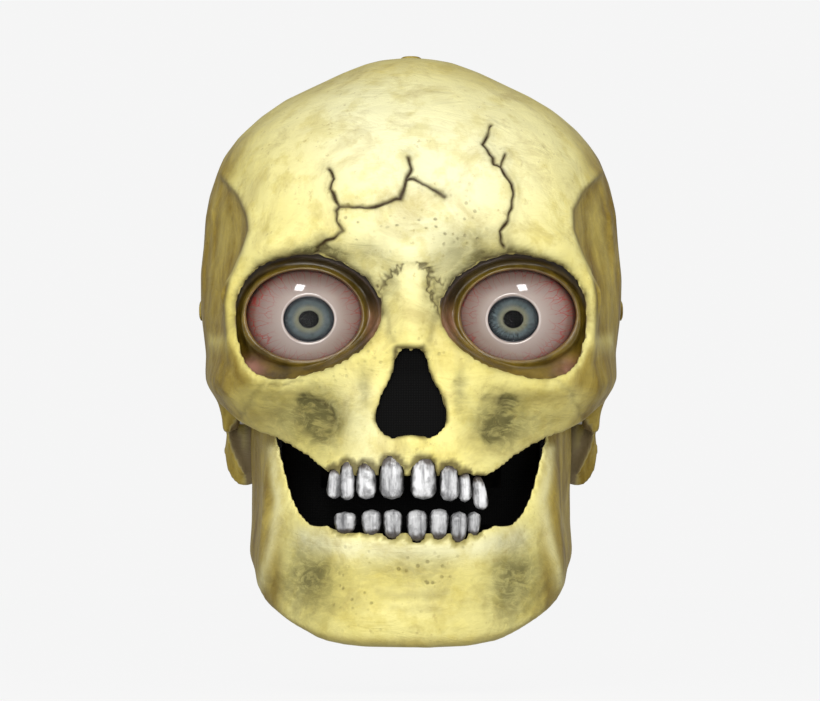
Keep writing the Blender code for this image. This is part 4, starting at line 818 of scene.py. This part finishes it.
def jaw_shell(settings, material):
    bm = remeshed(node_bmesh("jaw_shell"), settings.grain, 3)
    obj = piece(bm, "jaw_face", "jaw", material, ["jaw_shell"], 60)
    places, normals = arrays(obj.data)
    points = face_mm(places)
    flat = points[:, [0, 2]]
    mirrored = np.column_stack([np.abs(flat[:, 0]), flat[:, 1]])
    front = outer_front(points, normals)
    wobble = np.column_stack([rough(points, 6.0), rough(points, 6.0, 40.0)]) * 1.2
    level = np.zeros(len(points))
    rise, dark, olive = sculpted(flat, wobble, 1, JAW_GROOVES, JAW_HOLLOWS, level, level)
    ridge = bell(line_distance(mirrored, RAMUS_LINE), 2.2)
    rise += 0.9 * ridge
    # Painted shade in ochre: the sides of the rising branches and faces turned down.
    brown = step(np.abs(normals[:, 0]), 0.45, 0.75) * step(mirrored[:, 0], 60, 68)
    brown = np.maximum(brown, 0.95 * step(mirrored[:, 0], 68, 73))
    brown = np.maximum(brown, 0.5 * step(-normals[:, 2], 0.15, 0.6))
    # Painted shade in olive over the lower part of the jaw.
    olive += 0.16 * (1 - step(flat[:, 1], 36, 50))
    # Dark round the lower teeth: the gum's paint, and painted shade where the teeth meet the shell.
    gum = tooth_rings(points, [f"lower_tooth_{n}" for n in range(1, 8)])
    dark = np.maximum(dark, 0.65 * gum)
    rise += 0.4 * rough(points, 15.0, 3.0) + 0.15 * rough(points, 5.0, 11.0)
    moved_along_normals(obj.data, places, normals, rise * front)
    inner = inner_wall(points, normals, front)
    band = bell(line_distance(flat, [(-52, 53), (-30, 49), (0, 48), (30, 49), (52, 53)]), 4.5)
    pits = bell(line_distance(flat, [(-25, 30), (25, 32)]), 14)
    # The paler band along the top of the jaw, and a painted highlight along the front edge of each rising branch.
    pale = np.clip(0.8 * band + 0.5 * ridge, 0, 1) * (1 - gum)
    painted(obj, dark=dark * front, olive=olive * front, brown=brown * (1 - inner) * (1 - ridge * 0.7),
            pale=pale * front, pits=pits * front, inside=inner)
    return obj


class MASK_OT_shells(bpy.types.Operator):
    """Model and paint the face shell and the jaw shell"""

    bl_idname = "skull_mask.shells"
    bl_label = "Latex shells"

    def execute(self, context):
        settings = context.scene.skull_mask
        material = bone_paint(settings.shell)
        skull_shell(settings.shell, material)
        jaw_shell(settings.shell, material)
        return {"FINISHED"}


class MASK_OT_eyes(bpy.types.Operator):
    """Model the eyeballs, irises, clear corneas and pupil screens"""

    bl_idname = "skull_mask.eyes"
    bl_label = "Eyes"

    def execute(self, context):
        settings = context.scene.skull_mask
        clear = Finish("clear_lens", Roughness=0.02, Transmission_Weight=1.0, IOR=1.22, Alpha=0.3,
                       Base_Color=(1, 1, 1))
        clear.done(Normal=clear.bump(clear.grain(30, 2), 0.02, 0.0002))
        black = mesh_cloth("pupil_mesh")
        for side, _ in SIDES:
            low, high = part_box(f"eyeball_{side}")
            centre, radii = (low + high) / 2, (high - low) / 2
            bm = bmesh.new()
            bmesh.ops.create_uvsphere(bm, u_segments=112, v_segments=72, radius=1,
                                      matrix=Matrix.Rotation(math.pi / 2, 4, "X"))
            whole = bm.verts[:] + bm.edges[:] + bm.faces[:]
            bmesh.ops.bisect_plane(bm, geom=whole, plane_co=(0, 1e-4, 0), plane_no=(0, 1, 0), clear_outer=True)
            pole = [v for v in bm.verts if math.hypot(v.co.x, v.co.z) < math.sin(math.radians(21)) and v.co.y < 0]
            bmesh.ops.delete(bm, geom=pole, context="VERTS")
            bmesh.ops.scale(bm, vec=(radii.x, high.y - low.y - 0.3 * MM, radii.z), verts=bm.verts)
            bmesh.ops.translate(bm, vec=(centre.x, at(0, -70, 0).y, centre.z), verts=bm.verts)
            enamel = eye_white(f"eye_white_{side}", centre, (radii.x, 0, radii.z), settings.eye)
            ball = piece(bm, f"eye_{side}", "skull", enamel, [f"eyeball_{side}"], 50)
            walled(ball, 1.8 * MM)
            low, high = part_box(f"iris_{side}")
            radius, flat = (high.x - low.x) / 2, (high.z - low.z) / (high.x - low.x)
            shape = [(radius, low.y + 0.1 * MM), (radius * 0.96, low.y), (radius * 0.8, low.y + 0.15 * MM),
                     (radius * 0.55, low.y + 0.3 * MM), (4.9 * MM, low.y + 0.35 * MM), (4.8 * MM, low.y + 0.5 * MM),
                     (4.8 * MM, high.y), (radius, high.y)]
            printed = iris_print(f"iris_print_{side}", centre, (radius, 0, radius * flat), settings.eye)
            piece(turned(shape, (centre.x, centre.z), flat), f"iris_disc_{side}", "skull", printed,
                  [f"iris_{side}"])
            low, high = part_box(f"cornea_{side}")
            radius, depth = (high.x - low.x) / 2, high.y - low.y
            shape = [(0, high.y - 0.05 * MM), (radius, high.y)]
            for a in (math.pi / 2 * i / 14 for i in range(14)):
                shape.append((radius * math.cos(a), high.y - 0.35 * MM - (depth - 0.4 * MM) * math.sin(a)))
            shape.append((0, low.y))
            lens = piece(turned(shape, (centre.x, centre.z), flat, closed=False), f"cornea_lens_{side}", "skull",
                         clear.material, [f"cornea_{side}"], 60)
            lens.visible_shadow = False
            bm = node_bmesh(f"pupil_screen_{side}")
            weave_uv(bm, lambda vert: (vert.co.x, vert.co.z))
            piece(bm, f"pupil_mesh_{side}", "skull", black, [f"pupil_screen_{side}"])
        return {"FINISHED"}


class MASK_OT_lids(bpy.types.Operator):
    """Model the lids round the eyes"""

    bl_idname = "skull_mask.lids"
    bl_label = "Lids"

    def execute(self, context):
        settings = context.scene.skull_mask
        skin = lid_skin(settings.eye)
        for side, sign in SIDES:
            bm = node_bmesh(f"eyelids_{side}")
            subdivided(bm, 80, 3, 0.8)
            smoothed(bm, 2)
            obj = piece(bm, f"lids_{side}", "skull", skin, [f"eyelids_{side}"], 80)
            places, normals = arrays(obj.data)
            low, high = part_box(f"iris_{side}")
            middle = (low + high) / 2
            out = (places[:, 0] - middle.x) * sign / MM - 2.5
            up = (places[:, 2] - middle.z) / MM - 1
            reach = np.hypot(out / 28.5, up / 22.3)
            front = step(-normals[:, 1], 0.0, 0.35)
            crease = bell(reach - 1.16, 0.035) * step(up, -4, 8)
            lip = bell(reach - 1.06, 0.05) * (1 - step(up, -6, 4))
            ripple = rough(face_mm(places), 6.0) * 0.25
            moved_along_normals(obj.data, places, normals, (0.7 * lip - 0.8 * crease + ripple) * front)
            inner_corner = 0.7 * bell(np.hypot((out + 33.5) / 0.6, up + 4), 5.5)
            lower_corner = 0.75 * bell(np.hypot(out - 26, (up + 26) / 0.7), 5)
            pink = np.maximum(inner_corner, lower_corner) * step(reach, 1.05, 1.16)
            pink = np.maximum(pink, 0.5 * bell(reach - 0.985, 0.02))
            # Painted shade: the crease and the brow's shadow along the upper lid, and the crevice against the socket
            # below.
            dark = np.maximum(0.9 * crease, step(reach, 1.13, 1.24) * step(up, -4, 8))
            dark = np.maximum(dark, 0.5 * bell(reach - 1.17, 0.03) * (1 - step(up, -6, 4)))
            painted(obj, dark=dark * (1 - pink), pink=pink)
        return {"FINISHED"}


class MASK_OT_teeth(bpy.types.Operator):
    """Model the separate teeth"""

    bl_idname = "skull_mask.teeth"
    bl_label = "Teeth"

    def execute(self, context):
        settings = context.scene.skull_mask
        enamel = tooth_enamel(settings.fitting)
        rows = [("upper_tooth", 8, "skull", 1), ("lower_tooth", 7, "jaw", -1)]
        for row, count, body, root_way in rows:
            for number in range(1, count + 1):
                node = f"{row}_{number}"
                bm = node_bmesh(node)
                subdivided(bm, 60, 3, 1.0)
                smoothed(bm)
                obj = piece(bm, f"tooth_{row[:5]}_{number}", body, enamel, [node], 80)
                places, normals = arrays(obj.data)
                low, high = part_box(node)
                half, middle = (high - low) / 2, (high + low) / 2
                across = (places[:, 0] - middle.x) / half.x
                up = root_way * (places[:, 2] - middle.z) / half.z
                front = step(-normals[:, 1], 0.1, 0.6)
                lobes = -0.28 * (bell(np.abs(across) - 0.3, 0.12)) * (1 - step(up, -0.2, 0.7))
                worn = 0.35 * rough(face_mm(places), 3.2, number * 5.0) * (1 - step(up, -1, -0.5))
                rise = (lobes + 0.22 * rough(face_mm(places), 2.4, number * 9.0)) * front + worn
                moved_along_normals(obj.data, places, normals, rise)
                # Painted shade: darker at the sides and tip of each tooth, in the gaps between teeth and on faces
                # turned from the front; the lower row is painted darker all over.
                edge = step(np.abs(across) ** 2.4 + 0.3 * rough(face_mm(places), 2.0, 4.0), 0.30, 0.85)
                dark = np.maximum(edge * 0.93, 1 - step(-normals[:, 1], -0.1, 0.35))
                dark = np.maximum(dark, 0.5 * (1 - step(up, -1.0, -0.82)))
                if root_way < 0:
                    dark = np.maximum(dark, 0.36)
                # Brown at the root end: the gum's paint, and painted shade where the tooth meets it.
                gum = step(up + 0.25 * rough(face_mm(places), 1.8, 2.0), 0.35, 0.75)
                painted(obj, dark=dark, gum=gum * 0.9)
        return {"FINISHED"}


def woven_front(node, name, body, cuts, folds):
    """The front skin of a thin CAD piece as one sheet, with its own grid for the weave."""
    bm = node_bmesh(node)
    bm.normal_update()
    behind = [f for f in bm.faces if f.normal.y > -0.01]
    bmesh.ops.delete(bm, geom=behind, context="FACES")
    subdivided(bm, 80, cuts)
    smoothed(bm, factor=0.4)
    for vert in bm.verts:
        place = face_mm([vert.co])[0]
        fold = math.sin(place[0] / 7.5 + 1.3 * math.sin(place[2] / 21)) * folds * step(112 - place[2], 0, 30)
        vert.co.y += (fold + 0.6) * MM
    weave_uv(bm, lambda vert: (vert.co.x, vert.co.z))
    area = sum(f.calc_area() for f in bm.faces)
    low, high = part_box(node)
    obj = piece(bm, name, body, mesh_cloth(name + "_cloth"), [node], 80)
    walled(obj, 0.4 * MM)
    return obj, area, low, high


class MASK_OT_scrims(bpy.types.Operator):
    """Model the black mesh behind the nose and inside the mouth"""

    bl_idname = "skull_mask.scrims"
    bl_label = "Scrims"

    def execute(self, context):
        scrim, area, low, high = woven_front("nose_scrim", "nose_mesh", "skull", 1, 0.0)
        width, length = (high.x - low.x) * 1.08, (high.z - low.z) * 1.08
        min(area, width * length)
        curtain, area, low, high = woven_front("mouth_scrim", "mouth_curtain", "skull", 2, 1.1)
        length = high.z - low.z
        return {"FINISHED"}


def seamed_pad(node, name, body, material, cell, crown, seat_normal):
    """A foam pad under cloth: crowned faces, a rolled edge with a seam, and flat where it is glued or rests."""
    bm = remeshed(node_bmesh(node), cell, 5)
    obj = piece(bm, name, body, material, [node], 80)
    places, normals = arrays(obj.data)
    low, high = (np.array(corner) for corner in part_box(node))
    middle, half = (low + high) / 2, (high - low) / 2
    share = np.clip(np.abs((places - middle) / half), 0, 1)
    axis = int(np.argmax(np.abs(seat_normal)))
    others = [i for i in range(3) if i != axis]
    edge = np.max(share[:, others], axis=1)
    facing = step(normals @ np.array(seat_normal, float), 0.3, 0.9)
    seam = bell(edge - 0.86, 0.03) * facing
    channel = bell(share[:, others[0]] * half[others[0]] / MM - half[others[0]] / MM * 0.34, 1.3) * facing
    rise = crown * (1 - edge**2) * facing - 1.1 * seam - 1.0 * channel - 0.8
    moved_along_normals(obj.data, places, normals, rise)
    painted(obj, seam=np.maximum(seam, channel))
    return obj


class MASK_OT_pads(bpy.types.Operator):
    """Model the cloth-covered foam pads inside the shell"""

    bl_idname = "skull_mask.pads"
    bl_label = "Pads"

    def execute(self, context):
        settings = context.scene.skull_mask
        cloth = pad_cloth(settings.fitting)
        seamed_pad("crown_pad", "crown_cushion", "skull", cloth, 1.5 * MM, 0.0, (0, 0, -1))
        seamed_pad("forehead_pad", "forehead_cushion", "skull", cloth, 1.5 * MM, 0.0, (0, 1, 0))
        for side, sign in SIDES:
            seamed_pad(f"cheek_pad_{side}", f"cheek_cushion_{side}", "skull", cloth, 1.2 * MM, 0.4, (-sign, 0, 0))
        return {"FINISHED"}


def strap_piece(name, middles, outs, width, thick, body, node, material, edge):
    obj = piece(ribbon(middles, outs, width, thick), name, body, material, [node], 50)
    walled(obj, thick, 0).use_even_offset = True
    edges_rounded(obj, edge)


class MASK_OT_harness(bpy.types.Operator):
    """Model the straps and the chin sling"""

    bl_idname = "skull_mask.harness"
    bl_label = "Harness"

    def execute(self, context):
        settings = context.scene.skull_mask
        cloth, edge = webbing_weave("strap_webbing", settings.fitting), settings.fitting.strap_sides
        low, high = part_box("back_strap")
        width, thick = high.z - low.z, 1.8 * MM
        radius, z = 98.2, face_mm([(low + high) / 2])[0][2]
        turns = [math.radians(2 + 176 * i / 120) for i in range(121)]
        middles = [at(radius * math.cos(a), radius * math.sin(a), z) for a in turns]
        outs = [Vector((math.cos(a), math.sin(a), 0)) for a in turns]
        strap_piece("strap_back", middles, outs, width, thick, "skull", "back_strap", cloth, edge)
        low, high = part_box("chin_sling")
        half, top, sag = 84.0, 56.0, 26
        reach = (high.x - low.x) / 2 / MM - 0.6
        middles, outs = [], []
        for share in (2 * i / 60 - 1 for i in range(61)):
            x = share * reach
            lean = math.atan(2 * sag * (x / half) / half)
            middles.append(at(x, -44, top - sag * (1 - (x / half) ** 2)))
            outs.append(Vector((-math.sin(lean), 0, math.cos(lean))))
        strap_piece("sling_chin", middles, outs, 26 * MM, 1.6 * MM, "jaw", "chin_sling", cloth, edge)
        bend_height, bend_radius, bend_run = 186, 97.5, 153

        def along_crown(vert):
            x, y, z = face_mm([vert.co])[0]
            above = z - bend_height
            run = math.atan2(y, above) * bend_radius if above > 0 else bend_run - above
            return run * MM, x * MM

        bm = node_bmesh("crown_strap")
        weave_uv(bm, along_crown)
        strap = piece(bm, "strap_crown", "skull", cloth, ["crown_strap"], 30)
        edges_rounded(strap, 0.3 * MM)
        return {"FINISHED"}


class MASK_OT_hardware(bpy.types.Operator):
    """Finish the studs, caps, pegs, rings and rivets, and model the jaw elastics"""

    bl_idname = "skull_mask.hardware"
    bl_label = "Hardware"

    def execute(self, context):
        settings = context.scene.skull_mask
        plastic, steel, gum = moulded_plastic(), plated_steel(), gum_black()
        rivet = painted_rivet(settings.shell)
        for name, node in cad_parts.items():
            if name.startswith("hinge_stud"):
                material = steel
            elif name.startswith(("strap_rivet", "crown_rivet")):
                material = rivet
            elif name.startswith(("hinge_cap", "upper_peg", "lower_peg", "eye_ring", "strap_slider")):
                material = plastic
            elif name.endswith("_bar"):
                material = gum
            else:
                continue
            node.data.materials.clear()
            node.data.materials.append(material)
        braid = braided_elastic()
        for side, sign in SIDES:
            low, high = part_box(f"jaw_elastic_{side}")
            x, y = (low.x + high.x) / 2, (low.y + high.y) / 2
            radius = (high.x - low.x) / 2
            reach = (high.y - low.y) / 2 - radius
            ends = ((high.z - reach - radius, 0), (low.z + reach + radius, math.pi))
            bm = bmesh.new()
            centres = []
            for (z, start), (other, _) in (ends, ends[::-1]):
                for a in (start + math.pi * i / 24 for i in range(25)):
                    centres.append(((y + reach * math.cos(a), z + reach * math.sin(a)), (math.cos(a), math.sin(a))))
                way = 1 if start else -1
                for i in range(1, 30):
                    centres.append(((y + way * reach, z + (other - z) * i / 30), (way, 0)))
            rings = []
            for (cy, cz), (dy, dz) in centres:
                made = bmesh.ops.create_circle(bm, segments=14, radius=radius)["verts"]
                for vert in made:
                    out, up = vert.co.x, vert.co.y
                    vert.co = (x + sign * up, cy + out * dy, cz + out * dz)
                rings.append(list(dict.fromkeys(e for v in made for e in v.link_edges)))
            for first, second in zip(rings, rings[1:] + rings[:1]):
                bmesh.ops.bridge_loops(bm, edges=first + second)
            bmesh.ops.recalc_face_normals(bm, faces=bm.faces)
            weave_uv(bm, lambda vert: (vert.co.z, math.atan2(vert.co.x - x, abs(vert.co.y - y) - reach) * radius))
            obj = piece(bm, f"elastic_loop_{side}", None, braid, (), 80)
            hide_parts(f"jaw_elastic_{side}")
            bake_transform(obj)
        return {"FINISHED"}


class MASK_OT_stage(bpy.types.Operator):
    """Set the floor, the soft lights and the camera"""

    bl_idname = "skull_mask.stage"
    bl_label = "Stage"

    def execute(self, context):
        scene = context.scene
        stage = scene.skull_mask.stage
        low, high = CAD_BOX
        make = Finish("pale_paper", Roughness=0.95, Specular_IOR_Level=0.1)
        tint = tuple(stage.floor_tint)
        colour = make.mixed(make.ramp(make.grain(3, 2), (0.3, 0.0), (0.7, 1.0)), tuple(0.99 * c for c in tint), tint)
        paper = make.done(Base_Color=colour, Emission_Color=(1, 1, 1), Emission_Strength=stage.floor_glow)
        bm = bmesh.new()
        bmesh.ops.create_circle(bm, cap_ends=True, segments=96, radius=stage.floor_radius,
                                matrix=Matrix.Translation((0, 0, low.z - JAW_DROP)))
        floor = piece(bm, "pale_floor", None, paper)
        floor.visible_diffuse = False
        floor.visible_glossy = False
        world = scene.world or bpy.data.worlds.new("studio")
        scene.world = world
        world.use_nodes = True
        nodes, links = world.node_tree.nodes, world.node_tree.links
        nodes["Background"].inputs["Strength"].default_value = stage.room
        nodes["Background"].inputs["Color"].default_value = (1, 1, 1, 1)
        paper_sky = nodes.new("ShaderNodeBackground")
        paper_sky.inputs["Color"].default_value = (stage.backdrop, stage.backdrop, stage.backdrop, 1)
        seen = nodes.new("ShaderNodeLightPath")
        choice = nodes.new("ShaderNodeMixShader")
        links.new(seen.outputs["Is Camera Ray"], choice.inputs[0])
        links.new(nodes["Background"].outputs[0], choice.inputs[1])
        links.new(paper_sky.outputs[0], choice.inputs[2])
        links.new(choice.outputs[0], nodes["World Output"].inputs["Surface"])
        centre = Vector((0, (low.y + high.y) / 2, (low.z + high.z) / 2))
        lights = [
            ("key", (-0.15, -1.7, 0.8), 0.8, stage.key_power, (1, 1, 0.98)),
            ("fill", (0.7, -1.5, 0.1), 0.9, stage.key_power * 0.3, (1, 0.99, 0.97)),
            ("low_fill", (-0.3, -1.4, -0.1), 0.7, stage.key_power * 0.3, (1, 1, 1)),
        ]
        for name, place, size, power, colour in lights:
            self.softbox(name, "DISK", centre + Vector(place), centre, size, power, colour)
        for side, sign in SIDES:
            middle = sum(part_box(f"eyeball_{side}"), Vector()) / 2
            toward = Vector((sign * 0.22, -0.48, 0.85)).normalized()
            window = self.softbox(f"window_{side}", "SQUARE", middle + toward * 0.7, middle, 0.15,
                                  stage.window_power, (1, 1, 1))
            lit = bpy.data.collections.new(f"lit_by_window_{side}")
            for name in (f"eye_{side}", f"cornea_lens_{side}", f"lids_{side}"):
                lit.objects.link(bpy.data.objects[name])
            window.light_linking.receiver_collection = lit
        scene.view_settings.view_transform = "Standard"
        data = bpy.data.cameras.new("camera")
        data.lens = stage.lens
        data.sensor_width = 36
        distance = stage.field * stage.lens / 36
        data.clip_end = 4 * distance
        camera = bpy.data.objects.new("camera", data)
        camera.location = (-0.0005, at(0, -60, 0).y - distance, at(0, 0, 145.2).z)
        camera.rotation_euler = (math.radians(90), 0, 0)
        scene.collection.objects.link(camera)
        scene.camera = camera
        return {"FINISHED"}

    def softbox(self, name, shape, place, aim, size, power, colour):
        data = bpy.data.lights.new(name, "AREA")
        data.shape = shape
        data.size = size
        data.energy = power
        data.color = colour
        light = bpy.data.objects.new(name, data)
        light.location = place
        light.rotation_euler = (Vector(aim) - Vector(place)).to_track_quat("-Z", "Y").to_euler()
        bpy.context.scene.collection.objects.link(light)
        return light


OPERATORS = (MASK_OT_shells, MASK_OT_eyes, MASK_OT_lids, MASK_OT_teeth, MASK_OT_scrims, MASK_OT_pads,
             MASK_OT_harness, MASK_OT_hardware, MASK_OT_stage)


class MASK_PT_sidebar(bpy.types.Panel):
    """The mask's pieces, in the order they are made"""

    bl_idname = "MASK_PT_sidebar"
    bl_label = "Skull Mask"
    bl_space_type = "VIEW_3D"
    bl_region_type = "UI"
    bl_category = "Skull Mask"

    def draw(self, context):
        settings = context.scene.skull_mask
        for group in (settings.shell, settings.eye, settings.fitting, settings.stage):
            box = self.layout.box()
            for name in group.__annotations__:
                box.prop(group, name)
        for operator in OPERATORS:
            self.layout.operator(operator.bl_idname)


CLASSES = (ShellSettings, EyeSettings, FittingSettings, StageSettings, MaskSettings, *OPERATORS, MASK_PT_sidebar)


def register():
    for cls in CLASSES:
        bpy.utils.register_class(cls)
    bpy.types.Scene.skull_mask = PointerProperty(type=MaskSettings)


def unregister():
    del bpy.types.Scene.skull_mask
    for cls in reversed(CLASSES):
        bpy.utils.unregister_class(cls)


def main():
    register()
    for operator in OPERATORS:
        group, name = operator.bl_idname.split(".")
        getattr(getattr(bpy.ops, group), name)()


if __name__ == "__main__":
    main()
